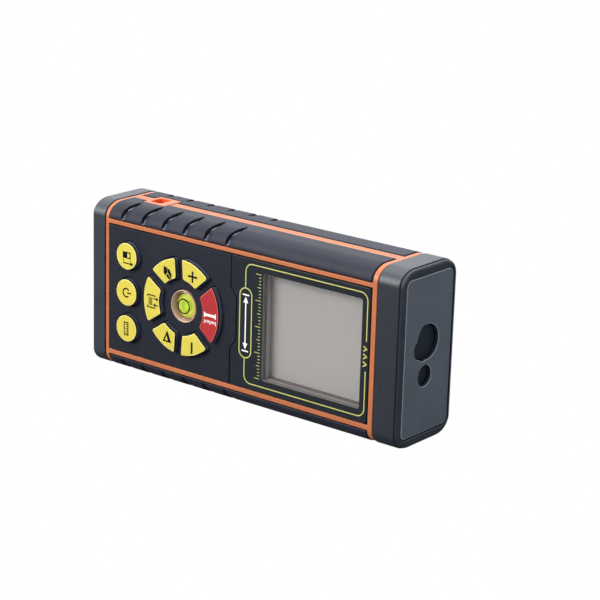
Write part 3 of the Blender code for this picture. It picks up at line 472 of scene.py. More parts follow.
# painted shade, light and highlight for the tread cuts: dark where a cut's wall shuts light out,
# lighter on its slope, lightest on its upper edge
moulded("rubber_painted_shade", "grip_rubber_painted_shade", (15, 16, 23), (19, 20, 27), rough=0.7, patch=0.08,
        grain=(4.0, 0.020), specular=0.08)
moulded("rubber_painted_light", "grip_rubber_painted_light", (80, 85, 102), (68, 73, 90), rough=0.45,
        patch=0.12, grain=(4.0, 0.020), specular=0.45)
moulded("rubber_painted_highlight", "grip_rubber_painted_highlight", (138, 145, 156), (126, 133, 146), rough=0.5,
        patch=0.12, grain=(4.0, 0.020), specular=0.5)
moulded("panel", "keypad_matt", (28, 31, 42), (31, 34, 45), rough=0.55, patch=0.07,
        grain=(6.0, 0.010), edge=(64, 70, 88), specular=0.2)
moulded("bezel", "bezel_gloss", (32, 37, 42), (35, 40, 45), rough=0.32, patch=0.05,
        grain=(5.0, 0.002), edge=(64, 70, 88), specular=0.2, coat=0.05, orange_peel=0.006)
moulded("plate", "nose_plate_grey", (70, 76, 84), (76, 82, 92), rough=0.5,
        grain=(7.0, 0.012), edge=(185, 195, 202), edge_highlight_share=0.9)
# painted highlight for the plate's rounded rim and the lips of its holes
moulded("plate_rim", "plate_rim", (134, 142, 146), (124, 133, 138), rough=0.42, patch=0.08,
        grain=(7.0, 0.006), specular=0.4)
# painted shade for the walls inside the nose holes
moulded("hole_wall_painted_shade", "hole_wall_painted_shade", (44, 51, 60), (38, 45, 54), rough=0.75, patch=0.08,
        specular=0.08)
moulded("yellow", "key_yellow", (198, 185, 73), (194, 178, 66), rough=0.52,
        edge=(224, 216, 150), edge_highlight_share=0.9, specular=0.2, speckle=0.3)
moulded("red", "key_red", (166, 43, 43), (159, 37, 39), rough=0.52,
        edge=(214, 92, 90), edge_highlight_share=0.7, specular=0.25)
# dark painted shade on the top of each key's side
moulded("key_side_painted_shade", "key_lip_painted_shade", (18, 19, 22), (15, 16, 20), rough=0.62, patch=0.08,
        specular=0.08)
# painted light: key sides, flanges and stems made lighter to offset the shade they stand in
moulded("key_skirt_painted_light", "key_rubber_painted_light", (66, 71, 86), (72, 76, 92), rough=0.6, patch=0.08,
        specular=0.2)
# painted highlight on the keys' rounded edges
moulded("yellow_rim", "key_yellow_rim", (226, 218, 138), (220, 210, 128), rough=0.52,
        specular=0.2)
moulded("red_rim", "key_red_rim", (206, 104, 98), (198, 94, 90), rough=0.52, specular=0.2)
# painted shade for the display tunnel's low wall and the bezel opening's wall
moulded("holder_low", "holder_low", (114, 109, 107), (107, 102, 101), rough=0.7,
        grain=(6.0, 0.010), specular=0.15)
moulded("holder", "holder_grey", (162, 154, 152), (154, 146, 145), rough=0.55, patch=0.05,
        grain=(6.0, 0.008), specular=0.3)
moulded("black", "part_black", (34, 34, 36), (28, 28, 31), rough=0.5, patch=0.08,
        edge=(80, 82, 86))
moulded("film", "dome_film", (212, 210, 200), (200, 198, 190), rough=0.35, patch=0.04, coat=0.2)
moulded("flex", "flex_amber", (186, 118, 44), (176, 106, 38), rough=0.35, coat=0.3)
moulded("ring", "level_amber", (188, 159, 136), (172, 140, 124), rough=0.28,
        grain=(6.0, 0.002), edge=(226, 208, 190), edge_highlight_share=0.6, specular=0.5, coat=0.4,
        orange_peel=0.004)
moulded("well", "level_wall", (226, 202, 174), (210, 178, 158), rough=0.35, patch=0.08,
        grain=(6.0, 0.002), specular=0.4, coat=0.3, orange_peel=0.004)
metal("steel", "plated_steel", (0.58, 0.58, 0.6), rough=0.3, brushed=(1, 6, 1))
metal("zinc", "zinc_casting", (0.36, 0.36, 0.38), rough=0.5, dark=0.4)
metal("brass", "barrel_brass", (0.68, 0.48, 0.2), rough=0.34, brushed=(8, 1, 1))
clear("clear", "clear_plastic", (0.95, 0.95, 0.95), rough=0.03, shine=0.35, inner=0.0)
clear("vial", "vial_plastic", (0.985, 0.99, 0.95), rough=0.05, shine=0.12)
clear("glass", "lens_glass", (0.9, 0.95, 0.98), rough=0.01, shine=1.0)
ink("ink_black", (16, 14, 10), rough=0.6)
ink("ink_line", (190, 188, 106), name="ink_yellow_green")
ink("ink_white", (238, 232, 232))
dark_window()
lcd()
liquid()
bubble()
board()
sleeve()


# ---------------------------------------------------------------- outlines
def at_x(outline, x):
    return [(x, y, z) for y, z in outline]


def at_y(outline, y):
    return [(x, y, z) for x, z in outline]


def at_z(outline, z):
    return [(x, y, z) for x, y in outline]


def quarter_arcs(centres, radii, steps):
    """Four quarter arcs, one after another, as a closed outline."""
    points = []
    for k, (first, second) in enumerate(centres):
        for i in range(steps + 1):
            angle = math.pi / 2 * (k + i / steps)
            cos, sin = math.cos(angle), math.sin(angle)
            points.append((first + radii[0] * cos, second + radii[1] * sin))
    return points


def section(inward=0.0):
    """The body's cross-section as (y, z), pulled in."""
    radius_y, radius_z = max(CORNER_Y - inward, 0.5), max(CORNER_Z - inward, 0.5)
    half_y, half_z = BACK - inward, WIDTH / 2 - inward
    centres = [
        (side_y * (half_y - radius_y), MID_Z + side_z * (half_z - radius_z))
        for side_y, side_z in ((1, 1), (-1, 1), (-1, -1), (1, -1))
    ]
    return quarter_arcs(centres, (radius_y, radius_z), CORNER_STEPS)


def rounded(low, high, low_2, high_2, radius, steps=CORNER_STEPS):
    """A rectangle with round corners."""
    left, right = low + radius, high - radius
    bottom, top = low_2 + radius, high_2 - radius
    centres = ((right, top), (left, top), (left, bottom), (right, bottom))
    return quarter_arcs(centres, (radius, radius), steps)


def circle(x, z, radius, steps=56):
    angles = [2 * math.pi * i / steps for i in range(steps)]
    return [(x + radius * math.cos(a), z + radius * math.sin(a)) for a in angles]


def corner_points(x, z, radius, start, steps=6):
    """A quarter arc from a start direction in degrees."""
    angles = [math.radians(start + 90.0 * i / steps) for i in range(steps + 1)]
    return [(x + radius * math.cos(a), z + radius * math.sin(a)) for a in angles]


def arc(radius, steps=4, start=0.0):
    """A convex quarter round as (pull-in, depth) pairs, from the face down to the side."""
    angles = [math.radians(start + (90.0 - start) * i / steps) for i in range(steps + 1)]
    return [(radius * (1 - math.sin(a)), radius * (1 - math.cos(a))) for a in angles]


def mitre(incoming, outgoing, least):
    """The push to the left of a corner that moves both its sides by one."""
    normal = Vector((-incoming.y, incoming.x))
    both = normal + Vector((-outgoing.y, outgoing.x))
    return both / max(both.dot(normal), least)


def inset(outline, distance):
    """The outline pulled in by a distance (out if negative), corner by corner."""
    count = len(outline)
    area = sum(
        outline[i][0] * outline[(i + 1) % count][1] - outline[(i + 1) % count][0] * outline[i][1]
        for i in range(count)
    )
    sign = 1.0 if area > 0 else -1.0
    out = []
    for i in range(count):
        before, here = Vector(outline[i - 1]), Vector(outline[i])
        after = Vector(outline[(i + 1) % count])
        push = mitre((here - before).normalized(), (after - here).normalized(), 0.4) * sign
        out.append((here.x + push.x * distance, here.y + push.y * distance))
    return out


def ease(share):
    share = min(max(share, 0.0), 1.0)
    return share * share * (3 - 2 * share)


# ---------------------------------------------------------------- mesh tools
def solid(name, verts, faces, mats=("navy",), tags=None):
    """A closed mesh, its faces turned outwards; tags are the faces' material indices."""
    mesh = bpy.data.meshes.new(name)
    mesh.from_pydata([place(v) for v in verts], [], faces)
    if tags:
        mesh.polygons.foreach_set("material_index", tags)
    bm = bmesh.new()
    bm.from_mesh(mesh)
    bmesh.ops.recalc_face_normals(bm, faces=bm.faces)
    if bm.calc_volume(signed=True) < 0:
        bmesh.ops.reverse_faces(bm, faces=bm.faces)
    bm.to_mesh(mesh)
    bm.free()
    obj = bpy.data.objects.new(name, mesh)
    bpy.context.scene.collection.objects.link(obj)
    for key in mats:
        mesh.materials.append(MATERIALS[key])
    return obj


def loft(name, rings, mats=("navy",), ring_tags=None, cap_tags=(0, 0)):
    """Skins equal rings of points one after another and closes both ends."""
    n = len(rings[0])
    verts = [point for ring in rings for point in ring]
    faces, tags = [], []
    for k in range(len(rings) - 1):
        here, after = k * n, (k + 1) * n
        for i in range(n):
            j = (i + 1) % n
            faces.append((here + i, here + j, after + j, after + i))
            tags.append(ring_tags[k] if ring_tags else 0)
    faces.append(tuple(range(n)))
    faces.append(tuple((len(rings) - 1) * n + i for i in reversed(range(n))))
    tags += list(cap_tags)
    return solid(name, verts, faces, mats, tags)


def prism_x(name, outline, start, end, mats=("navy",)):
    return loft(name, [at_x(outline, x) for x in (start, end)], mats)


def box(name, x, y, z):
    outline = [(x[0], z[0]), (x[1], z[0]), (x[1], z[1]), (x[0], z[1])]
    return loft(name, [at_y(outline, level) for level in y])


def turned(name, profile, centre, steps=48, mats=("navy",), tags=None, axis="Y"):
    """Turns (radius, position) pairs, from the axis back to the axis, about X or Y."""

    def at(radius, position, angle):
        first = centre[0] + radius * math.cos(angle)
        second = centre[1] + radius * math.sin(angle)
        return (position, first, second) if axis == "X" else (first, position, second)

    angles = [2 * math.pi * i / steps for i in range(steps)]
    tags = tags or [0] * (len(profile) - 1)
    verts = [at(0.0, profile[0][1], 0.0)]
    for radius, position in profile[1:-1]:
        verts += [at(radius, position, angle) for angle in angles]
    verts.append(at(0.0, profile[-1][1], 0.0))
    faces = [(0, 1 + (i + 1) % steps, 1 + i) for i in range(steps)]
    for k in range(len(profile) - 3):
        a, b = 1 + k * steps, 1 + (k + 1) * steps
        faces += [
            (a + i, a + (i + 1) % steps, b + (i + 1) % steps, b + i) for i in range(steps)
        ]
    last, base = len(verts) - 1, 1 + (len(profile) - 3) * steps
    faces += [(base + i, base + (i + 1) % steps, last) for i in range(steps)]
    return solid(name, verts, faces, mats, [tag for tag in tags for i in range(steps)])


def rod(name, radius, start, end, centre, steps=32, mats=("navy",), axis="Y"):
    profile = [(0, start), (radius, start), (radius, end), (0, end)]
    return turned(name, profile, centre, steps, mats, axis=axis)


def hoop(name, profile, mats, tags=None, steps=72):
    """Turns a closed (radius, y) profile about the middle of the key ring."""
    n = len(profile)
    verts, faces = [], []
    for k in range(steps):
        cos, sin = math.cos(2 * math.pi * k / steps), math.sin(2 * math.pi * k / steps)
        verts += [(RING_X + r * cos, y, MID_Z + r * sin) for r, y in profile]
        after = (k + 1) % steps
        for i in range(n):
            j = (i + 1) % n
            faces.append((k * n + i, k * n + j, after * n + j, after * n + i))
    return solid(name, verts, faces, mats, tags and tags * steps)


def closed(mesh):
    bm = bmesh.new()
    bm.from_mesh(mesh)
    whole = len(bm.faces) > 3 and all(e.is_manifold for e in bm.edges)
    bm.free()
    return whole


def combine(obj, others, operation):
    """Applies a Boolean of each other object to obj, and removes the others."""
    for other in others:
        # the second solver steps in where the first leaves an open mesh
        for solver in ("EXACT", "MANIFOLD"):
            mod = obj.modifiers.new("bool", "BOOLEAN")
            mod.operation = operation
            mod.solver = solver
            mod.object = other
            graph = bpy.context.evaluated_depsgraph_get()
            graph.update()
            mesh = bpy.data.meshes.new_from_object(obj.evaluated_get(graph))
            obj.modifiers.clear()
            if closed(mesh):
                break
        old = obj.data
        obj.data = mesh
        bpy.data.meshes.remove(old)
        bpy.data.objects.remove(other, do_unlink=True)
    return obj


def cut(obj, *others):
    return combine(obj, others, "DIFFERENCE")


def join(obj, *others):
    return combine(obj, others, "UNION")


def slab_y(name, outline, face, depth, edge, mats=("navy",)):
    """A plate with its face at y = face and its body running to y = depth, face edge rounded."""
    sign = 1.0 if depth > face else -1.0
    rings = [at_y(inset(outline, pull), face + sign * drop) for pull, drop in arc(edge, 3)]
    rings.append(at_y(outline, depth))
    return loft(name, rings, mats)


def mouth(outline, face, sign, flare, steps=3, at=at_y):
    """Rings of a cutter that goes in at a face towards sign, rounding the hole's edge."""
    pairs = arc(flare, steps, 12.0)
    slope = (pairs[0][0] - pairs[1][0]) / (pairs[1][1] - pairs[0][1])
    wide = pairs[0][0] + (pairs[0][1] + 0.04) * slope
    rings = [at(inset(outline, -wide), face - sign * out) for out in (2.0, 0.04)]
    return rings + [at(inset(outline, -pull), face + sign * drop) for pull, drop in pairs[1:]]


def hole(outline, face, depth, flare=0.15, tag=0, at=at_y):
    """A cutter for a hole with a rounded edge through a face across Y, or X with at_x."""
    sign = 1.0 if depth > face else -1.0
    rings = mouth(outline, face, sign, flare, at=at) + [at(outline, depth)]
    return loft("hole", rings, ("navy",), [tag] * (len(rings) - 1), (tag, tag))


def done(obj, slot, *stands_for, body="housing", angle=32.0, weighted=True):
    """Smooths a piece, hangs it on its body and hides the CAD nodes it stands for."""
    obj.data.shade_smooth()
    obj.data.set_sharp_from_angle(angle=math.radians(angle))
    if weighted:
        mod = obj.modifiers.new("weighted", "WEIGHTED_NORMAL")
        mod.keep_sharp = True
        mod.weight = 60
    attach(obj, body)
    if stands_for:
        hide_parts(*stands_for)


# ---------------------------------------------------------------- orange frame
def section_place(point):
    """A frame point's (y, z) in millimetres."""
    return point.y / MM - SHIFT_Y, point.z / MM


def depth_at(y, z):
    """How far a point of the cross-section lies inside the body's outline."""
    over_y = abs(y) - (BACK - CORNER_Y)
    over_z = abs(z - MID_Z) - (WIDTH / 2 - CORNER_Z)
    if over_y <= 0 or over_z <= 0:
        return min(CORNER_Y - over_y, CORNER_Z - over_z)
    low, high = -0.5, 4.0
    for _ in range(30):
        middle = (low + high) / 2
        if (over_y / (CORNER_Y - middle)) ** 2 + (over_z / (CORNER_Z - middle)) ** 2 < 1:
            low = middle
        else:
            high = middle
    return low


def band(x, radius):
    """A full slice of the body with both rims rounded."""
    edge = arc(radius)
    rings = [at_x(section(SINK + pull), x[0] + drop) for pull, drop in edge]
    rings += [at_x(section(SINK + pull), x[1] - drop) for pull, drop in reversed(edge)]
    return loft("band", rings, ("orange",))


def strip(x, top, low, high, thick, side, narrow=False):
    """A bar along X with rounded outer edges, on a face across Y or on a narrow side."""
    edge = arc(0.2)
    foot = top - side * thick
    outline = [(foot, high)]
    outline += [(top - side * drop, high - pull) for pull, drop in reversed(edge)]
    outline += [(top - side * drop, low + pull) for pull, drop in edge] + [(foot, low)]
    if narrow:
        outline = [(second, first) for first, second in outline]
    return prism_x("strip", outline, *x, ("orange",))


def rim(outer, inner, x, y):
    """A closed tongue round the body between two insets, kept between two heights."""
    return cut(
        prism_x("rim", section(outer), *x),
        prism_x("inside", section(inner), x[0] - 1, x[1] + 1),
        box("below", (-80, 80), (-30, y[0]), (-10, 60)),
        box("above", (-80, 80), (y[1], 30), (-10, 60)),
    )


def soften(obj, y, width=0.12):
    """Rounds the edge that a cut at height y left on the outside of the frame."""
    backup = obj.data.copy()
    bm = bmesh.new()
    bm.from_mesh(obj.data)
    level = (y + SHIFT_Y) * MM
    edges = []
    for edge in bm.edges:
        start, end = edge.verts
        on_level = all(abs(v.co.y - level) < 1e-6 for v in edge.verts)
        if on_level and edge.calc_face_angle(0.0) > 1.0:
            if depth_at(*section_place((start.co + end.co) / 2)) < 0.3:
                edges.append(edge)
    bmesh.ops.bevel(bm, geom=edges, offset=width * MM, segments=2, affect="EDGES",
                    profile=0.6, clamp_overlap=True)
    bm.to_mesh(obj.data)
    bm.free()
    # a bevel that opens the mesh is undone
    if not closed(obj.data):
        obj.data = backup


def frame_half(name, side):
    """The front (side -1) or rear (side 1) half of the frame: bands, strips, core, cavity."""
    x_low, x_high = REAR_BAND[0], FRONT_BAND[1]
    run = (x_low + 0.6, x_high - 0.6)
    tiny = 0.012  # keeps strips and bands from being coplanar
    face = side * (BACK - SINK - tiny)
    body = prism_x(name, section(PAD_RECESS), x_low + 0.05, x_high - 0.05, ("orange", "groove"))
    join(
        body,
        band(REAR_BAND, 0.18),
        band(FRONT_BAND, 0.2),
        strip(run, face, *STRIP_LOW, 3.4, side),
        strip(run, face, *STRIP_HIGH, 3.4, side),
        strip(run, WIDTH - SINK - tiny, -SIDE_STRIP, SIDE_STRIP, 2.45, 1, narrow=True),
        strip(run, SINK + tiny, -SIDE_STRIP, SIDE_STRIP, 2.45, -1, narrow=True),
    )
    other_half = sorted((side * PARTING, -side * 20.0))
    recess = sorted((side * 20.0, -side * LEDGE))
    cut(
        body,
        prism_x("cavity", section(WALL_INSET), x_low - 5, x_high + 5),
        box("other_half", (-70, 70), other_half, (-10, 60)),
        box("panel_recess", (REAR_BAND[1], FRONT_BAND[0]), recess, (STRIP_LOW[1], STRIP_HIGH[0])),
    )
    soften(body, side * PARTING)
    if side < 0:
        run = (x_low + 1.0, x_high - 1.0)
        join(body, rim(WALL_INSET - TONGUE, WALL_INSET - 0.05, run, (-1.8, 0.85)))
    else:
        run = (x_low + 0.7, x_high - 0.7)
        cut(body, rim(WALL_INSET - TONGUE - GAP, WALL_INSET + 0.3, run, (-1.0, 1.15)))
    notch_y = (-EYELET_HALF - GAP, EYELET_HALF + GAP)
    return cut(body, box("eyelet_notch", EYELET_SLOT, notch_y, (STRIP_HIGH[1], 60)))


def paint_groove_shade(obj):
    """The floors of the grooves round the frame, and the ledges round the panel recess, get a dark
    painted shade.
    """
    for face in obj.data.polygons:
        y, z = section_place(face.center)
        on_core = abs(depth_at(y, z) - PAD_RECESS) < 0.06
        in_panel = STRIP_LOW[1] - 0.1 < z < STRIP_HIGH[0] + 0.1
        on_ledge = abs(abs(y) - abs(LEDGE)) < 0.02 and in_panel
        face.material_index = 1 if on_core or on_ledge else 0


def front_frame():
    front = frame_half("frame_front", -1)
    cut(front, box("key_opening", (-46.5, 44.9), (-14.0, -8.0), (8.2, 41.8)))
    for x, z in CASE_SCREWS:
        low = -10.6 if x < 0 else -5.9
        rib_low = low + 2.1 if x < 0 else -5.5
        rib_z = (1.9, z) if z < MID_Z else (z, 48.1)
        join(
            front,
            rod("boss", 2.2, low, -0.6, (x, z), 28),
            box("rib", (x - 0.6, x + 0.6), (rib_low, -1.5), rib_z),
        )
    for at in CASE_SCREWS:
        cut(front, rod("pilot", 1.3, -5.2, 2.0, at, 28))
    paint_groove_shade(front)
    done(front, "frame_orange", "front_housing")


def rear_frame():
    rear = frame_half("frame_rear", 1)
    join(rear, box("bay", (-48.8, BAY_X[1] + 1.0), (-1.15, 10.9), (12.3, 37.7)))
    for at in CASE_SCREWS:
        join(rear, rod("boss", 3.0, 0.3, 10.6, at, 28))
    for at in BRACKET_SCREWS:
        join(rear, rod("post", 2.3, 1.7, 10.4, at, 28))
    cut(
        rear,
        box("bay_room", BAY_X, (-0.15, 20.0), BAY_Z),
        box("door_way", DOOR_OPEN_X, (10.7, 20.0), DOOR_OPEN_Z),
        box("door_end", (BAY_X[1] + 2.0, DOOR_OPEN_X[1]), (9.0, 20.0), DOOR_OPEN_Z),
    )
    for at in CASE_SCREWS:
        cut(rear, rod("shank_hole", 1.3, -1.0, 12.0, at, 28), rod("head_hole", 2.2, 9.0, 13.0, at))
    for at in BRACKET_SCREWS:
        cut(rear, rod("pilot", 1.1, 1.0, 9.4, at, 24))
    paint_groove_shade(rear)
    done(rear, "frame_orange", "rear_housing")


front_frame()
rear_frame()


# ---------------------------------------------------------------- strap eyelet
def eyelet():
    """A block with a blind pocket and a bar across it."""
    top = WIDTH - 0.02
    outline = rounded(*EYELET.x, -EYELET_HALF, EYELET_HALF, 0.35, 5)
    rings = [at_z(inset(outline, pull), top - drop) for pull, drop in arc(0.25)]
    rings.append(at_z(outline, EYELET.z[0]))
    block = loft("eyelet_block", rings, ("orange", "recess"))
    opening = rounded(*EYELET_HOLE, -2.2, 2.4, 0.5, 6)
    rings = mouth(opening, top, -1.0, 0.35, steps=4, at=at_z)
    rings += [at_z(inset(opening, pull), z) for pull, z in ((0.12, 46.9), (0.45, 46.5))]
    tags = [0, 0] + [1] * (len(rings) - 3)
    cut(block, loft("pocket", rings, ("orange", "recess"), tags, (0, 1)))
    join(block, rod("bar", 0.55, -2.7, 2.9, (-40.45, 48.0), 24, ("recess",)))
    done(block, "frame_orange", "strap_eyelet")


eyelet()


# ---------------------------------------------------------------- caps
def plate_outline(inward=0.0):
    y, z = PLATE.y, PLATE.z
    radius = max(2.0 - inward, 0.3)
    return rounded(y[0] + inward, y[1] - inward, z[0] + inward, z[1] - inward, radius)


# distance behind the nose tip, pull-in of the body section
NOSE_RIM = (
    (1.42, 0.0), (1.30, 0.02), (1.20, 0.09), (1.16, 0.20), (1.20, 0.36), (1.22, 0.46),
    (1.17, 0.50), (1.05, 0.47), (0.88, 0.36), (0.70, 0.29), (0.52, 0.30), (0.36, 0.37),
    (0.22, 0.50), (0.11, 0.69), (0.03, 0.92), (0.0, 1.18),
)
# distance behind the nose tip, pull-in of the plate's outline
PLATE_SEAT = ((0.0, -0.62), (0.03, -0.48), (0.12, -0.36), (0.3, -GAP))


def nose_cap():
    back = FRONT_BAND[1] + GAP
    tip = NOSE.x[1]
    rings = [at_x(section(pull), back + drop) for pull, drop in arc(0.22, 3)]
    rings += [at_x(section(pull), tip - behind) for behind, pull in NOSE_RIM]
    rings += [at_x(plate_outline(pull), tip - behind) for behind, pull in PLATE_SEAT]
    rings.append(at_x(plate_outline(-GAP), PLATE.x[0] - GAP))
    # the nose cap takes the darker painted-shade copy of the navy
    cap = loft("nose_shell", rings, ("navy_nose_painted_shade",))
    join(cap, prism_x("lip", section(WALL_INSET + GAP), 46.7, 50.0))
    cut(
        cap,
        prism_x("throat", section(WALL_INSET + GAP + 1.0), 40.0, 50.2),
        prism_x("room", section(1.6), back + 1.2, 52.6),
        rod("receiver_bore", 5.9, 50.0, 60.0, RECEIVER, 56, axis="X"),
        rod("laser_bore", 3.7, 50.0, 60.0, LASER, 44, axis="X"),
    )
    done(cap, "case_navy", "nose_cap")


def tail_cap():
    start, tip, radius = REAR_BAND[0] - GAP, TAIL.x[0], 0.8
    rings = [at_x(section(pull), start - drop) for pull, drop in arc(0.22, 3)]
    for degrees in range(0, 91, 9):
        angle = math.radians(degrees)
        outline = section(radius * (1 - math.cos(angle)))
        rings.append(at_x(outline, tip + radius - radius * math.sin(angle)))
    cap = loft("tail_shell", rings, ("navy",))
    join(cap, prism_x("lip", section(WALL_INSET + GAP), -52.5, -49.4))
    cut(
        cap,
        prism_x("throat", section(WALL_INSET + GAP + 1.0), -52.6, -45.0),
        prism_x("room", section(2.2), -54.5, start - 1.2),
    )
    done(cap, "case_navy", "tail_cap")


nose_cap()
tail_cap()


# ---------------------------------------------------------------- grip pads
def pad_stations(x_low, x_high):
    """Places along X: dense at the ends, the eyelet and the notches, 1 mm apart between."""
    steps = set()
    for distance in EDGE_STEPS:
        steps |= {x_low + distance, x_high - distance}
    for k in range(NOTCH_COUNT):
        x = NOTCH_FIRST + k * NOTCH_PITCH - 0.6
        steps |= {x + 0.1 * i for i in range(43) if x + 0.1 * i > x_low + 0.55}
    for x in EYELET_SLOT:
        steps |= {x - 0.03, x + 0.03}
    x = x_low
    while x < x_high:
        if all(abs(x - step) > 0.8 for step in steps):
            steps.add(x)
        x += 1.0
    out = []
    for step in sorted(round(value, 4) for value in steps):
        if not out or step - out[-1] > 0.012:
            out.append(step)
    return out


def edge_drop(distance, radius=0.28):
    """How far a rounded edge falls at a distance from the border."""
    if distance >= radius:
        return 0.0
    distance = max(distance, 0.0)
    return radius - math.sqrt(max(radius * radius - (radius - distance) ** 2, 0.0))


def grip_pad(name, node, half_sign, width_sign):
    """A pad round one corner of the body: half_sign is its side in Y, width_sign in Z.

    reach is the distance round the corner from the edge beside the orange strip.
    """
    x_low, x_high = span(node).x
    centre_y, centre_z = BACK - CORNER_Y, WIDTH / 2 - CORNER_Z
    z_start = (STRIP_HIGH[1] - MID_Z if width_sign > 0 else MID_Z - STRIP_LOW[0]) + GAP
    first = math.asin(max(z_start - centre_z, 0.0) / CORNER_Z)
    table = [(first, 0.0)]  # angle, arc length round the corner
    for i in range(1, 101):
        angle = first + (math.pi / 2 - first) * i / 100
        before = table[-1][0]
        step_y = CORNER_Y * (math.cos(angle) - math.cos(before))
        step_z = CORNER_Z * (math.sin(angle) - math.sin(before))
        table.append((angle, table[-1][1] + math.hypot(step_y, step_z)))
    turn = table[-1][1]
    flat = centre_y - (SIDE_STRIP + GAP)
    total = turn + flat
    depth = 0.80 if width_sign > 0 else 0.55

    def reaches():
        out = list(EDGE_STEPS[:-1])
        for start, end, step in ((0.5, turn + 2.4, 0.2), (None, total - 0.6, 0.45)):
            reach = start or reach
            while reach < end:
                out.append(reach)
                reach += step
        return out + [total - distance for distance in reversed(EDGE_STEPS)]

    def angle_at(reach):
        for (angle, length), (next_angle, next_length) in zip(table, table[1:]):
            if reach <= next_length:
                return angle + (next_angle - angle) * (reach - length) / (next_length - length)
        return math.pi / 2

    def point(x, reach, inward):
        if reach <= turn:
            angle = angle_at(reach)
            y = centre_y + (CORNER_Y - inward) * math.cos(angle)
            z = centre_z + (CORNER_Z - inward) * math.sin(angle)
        else:
            end = SIDE_STRIP + GAP
            if width_sign > 0 and EYELET_SLOT[0] <= x <= EYELET_SLOT[1]:
                end = EYELET_HALF + GAP
            y = centre_y - (reach - turn) * (centre_y - end) / flat
            z = WIDTH / 2 - inward
        return (x, half_sign * y, MID_Z + width_sign * z)

    def across(x, reach, k):
        """How far a point lies on the nose side of the k-th cut's foot."""
        lean = 1.45 * ease((reach - 2.0) / (turn - 2.0))
        return x - (NOTCH_FIRST + k * NOTCH_PITCH) + 0.25 - lean

    def shade(x, reach):
        """Material tag: 0 plain rubber, 1 painted shade on the shut-in wall and foot of a cut, 2
        painted light on its slope, 3 a painted highlight on its upper edge.
        """
        if not 0.4 < reach < turn + 1.5:
            return 0
        ahead = [across(x, reach, k) for k in range(NOTCH_COUNT)]
        # the lower pads get only small painted highlight specks beside the cuts
        if width_sign < 0:
            return 3 if 4.2 < reach < 5.8 and any(0.15 < a < 0.6 for a in ahead) else 0
        bend = ease((reach - 1.5) / 0.9) * (1.0 - ease((reach - 3.2) / 1.0))
        foot = 0.10 + 0.40 * bend
        if reach < 2.4:
            slope = 0.95 * (1.0 - ease((reach - 1.6) / 0.8))
        else:
            fade = 1.0 - ease((reach - turn + 0.9) / 1.3)
            slope = 0.62 * ease((reach - 3.5) / 0.9) * fade
        for distance in ahead:
            if -0.22 < distance < foot:
                return 1
            if foot <= distance < foot + slope:
                return 2 if reach < 2.4 else 3
        return 0

    def notch(x, reach):
        """A tread cut: steep wall on the tail side, floor climbing to the nose, faded ends."""
        share = ease((reach - 0.25) / 1.0) * (1.0 - ease((reach - (turn - 1.2)) / 3.0))
        if share <= 0.0:
            return 0.0
        narrowing = 1.0 - 0.45 * ease((reach - turn * 0.45) / (turn * 0.4))
        width = 0.5 + 1.7 * share ** 0.7 * narrowing
        bend = ease((reach - 1.5) / 0.9) * (1.0 - ease((reach - 3.4) / 1.0))
        bottom = 0.15 + 0.25 * bend
        deepest = 0.0
        for k in range(NOTCH_COUNT):
            ahead = across(x, reach, k)
            if -0.4 < ahead < 2.9:
                wall = min(max((ahead + 0.24) / 0.2, 0.0), 1.0)
                climb = min(max(1.0 - (ahead - bottom) / width, 0.0), 1.0)
                deepest = max(deepest, depth * share ** 0.6 * min(wall, climb ** 0.9))
        return deepest

    stations, round_corner = pad_stations(x_low, x_high), reaches()
    rings = []
    for x in stations:
        from_end = min(x - x_low, x_high - x)
        outer = []
        for reach in round_corner:
            drop = edge_drop(min(from_end, reach, total - reach))
            outer.append(point(x, reach, max(drop, notch(x, reach))))
        rings.append(outer + [point(x, reach, PAD_THICK) for reach in reversed(round_corner)])
    pad = loft(name, rings, ("rubber", "rubber_painted_shade", "rubber_painted_light", "rubber_painted_highlight"))
    n = len(rings[0])
    for k, (x, next_x) in enumerate(zip(stations, stations[1:])):
        for i, (reach, after) in enumerate(zip(round_corner, round_corner[1:])):
            tag = shade((x + next_x) / 2, (reach + after) / 2)
            pad.data.polygons[k * n + i].material_index = tag
    done(pad, "grip_rubber", node, angle=50.0, weighted=False)


for height, width_sign in (("upper", 1), ("lower", -1)):
    for face, half_sign in (("front", -1), ("back", 1)):
        where = f"{height}_{face}"
        grip_pad("pad_" + where, "grip_" + where, half_sign, width_sign)


# ---------------------------------------------------------------- key outlines
def sector(low, high, grow=0.0):
    """A key of the ring between two gap directions, its sides parallel to the gaps."""
    r_out, r_in, half = RING_OUT + grow, RING_IN - grow, RING_GAP - grow
    turn = KEY_ROUND + grow
    start, end = math.radians(low), math.radians(high)

    def at(radius, angle):
        return Vector((RING_X + radius * math.cos(angle), MID_Z + radius * math.sin(angle)))

    def edge(radius, side):
        swing = math.asin(half / radius)
        return start + swing if side < 0 else end - swing

    def at_edge(radius, side):
        return at(radius, edge(radius, side))

    def corner(before, tip, after, steps=6):
        shares = [i / steps for i in range(steps + 1)]
        return [
            before * (1 - share) ** 2 + tip * (2 * share * (1 - share)) + after * share * share
            for share in shares
        ]

    def sweep(radius, first, last, steps):
        return [at(radius, first + (last - first) * i / steps) for i in range(1, steps)]

    out_0, out_1 = edge(r_out, -1) + turn / r_out, edge(r_out, 1) - turn / r_out
    in_0, in_1 = edge(r_in, -1) + turn / r_in, edge(r_in, 1) - turn / r_in
    points = corner(at_edge(r_out - turn, -1), at_edge(r_out, -1), at(r_out, out_0))
    points += sweep(r_out, out_0, out_1, 20)
    points += corner(at(r_out, out_1), at_edge(r_out, 1), at_edge(r_out - turn, 1))
    points += corner(at_edge(r_in + turn, 1), at_edge(r_in, 1), at(r_in, in_1))
    points += sweep(r_in, in_1, in_0, 12)
    points += corner(at(r_in, in_0), at_edge(r_in, -1), at_edge(r_in + turn, -1))
    return [(point.x, point.y) for point in points]


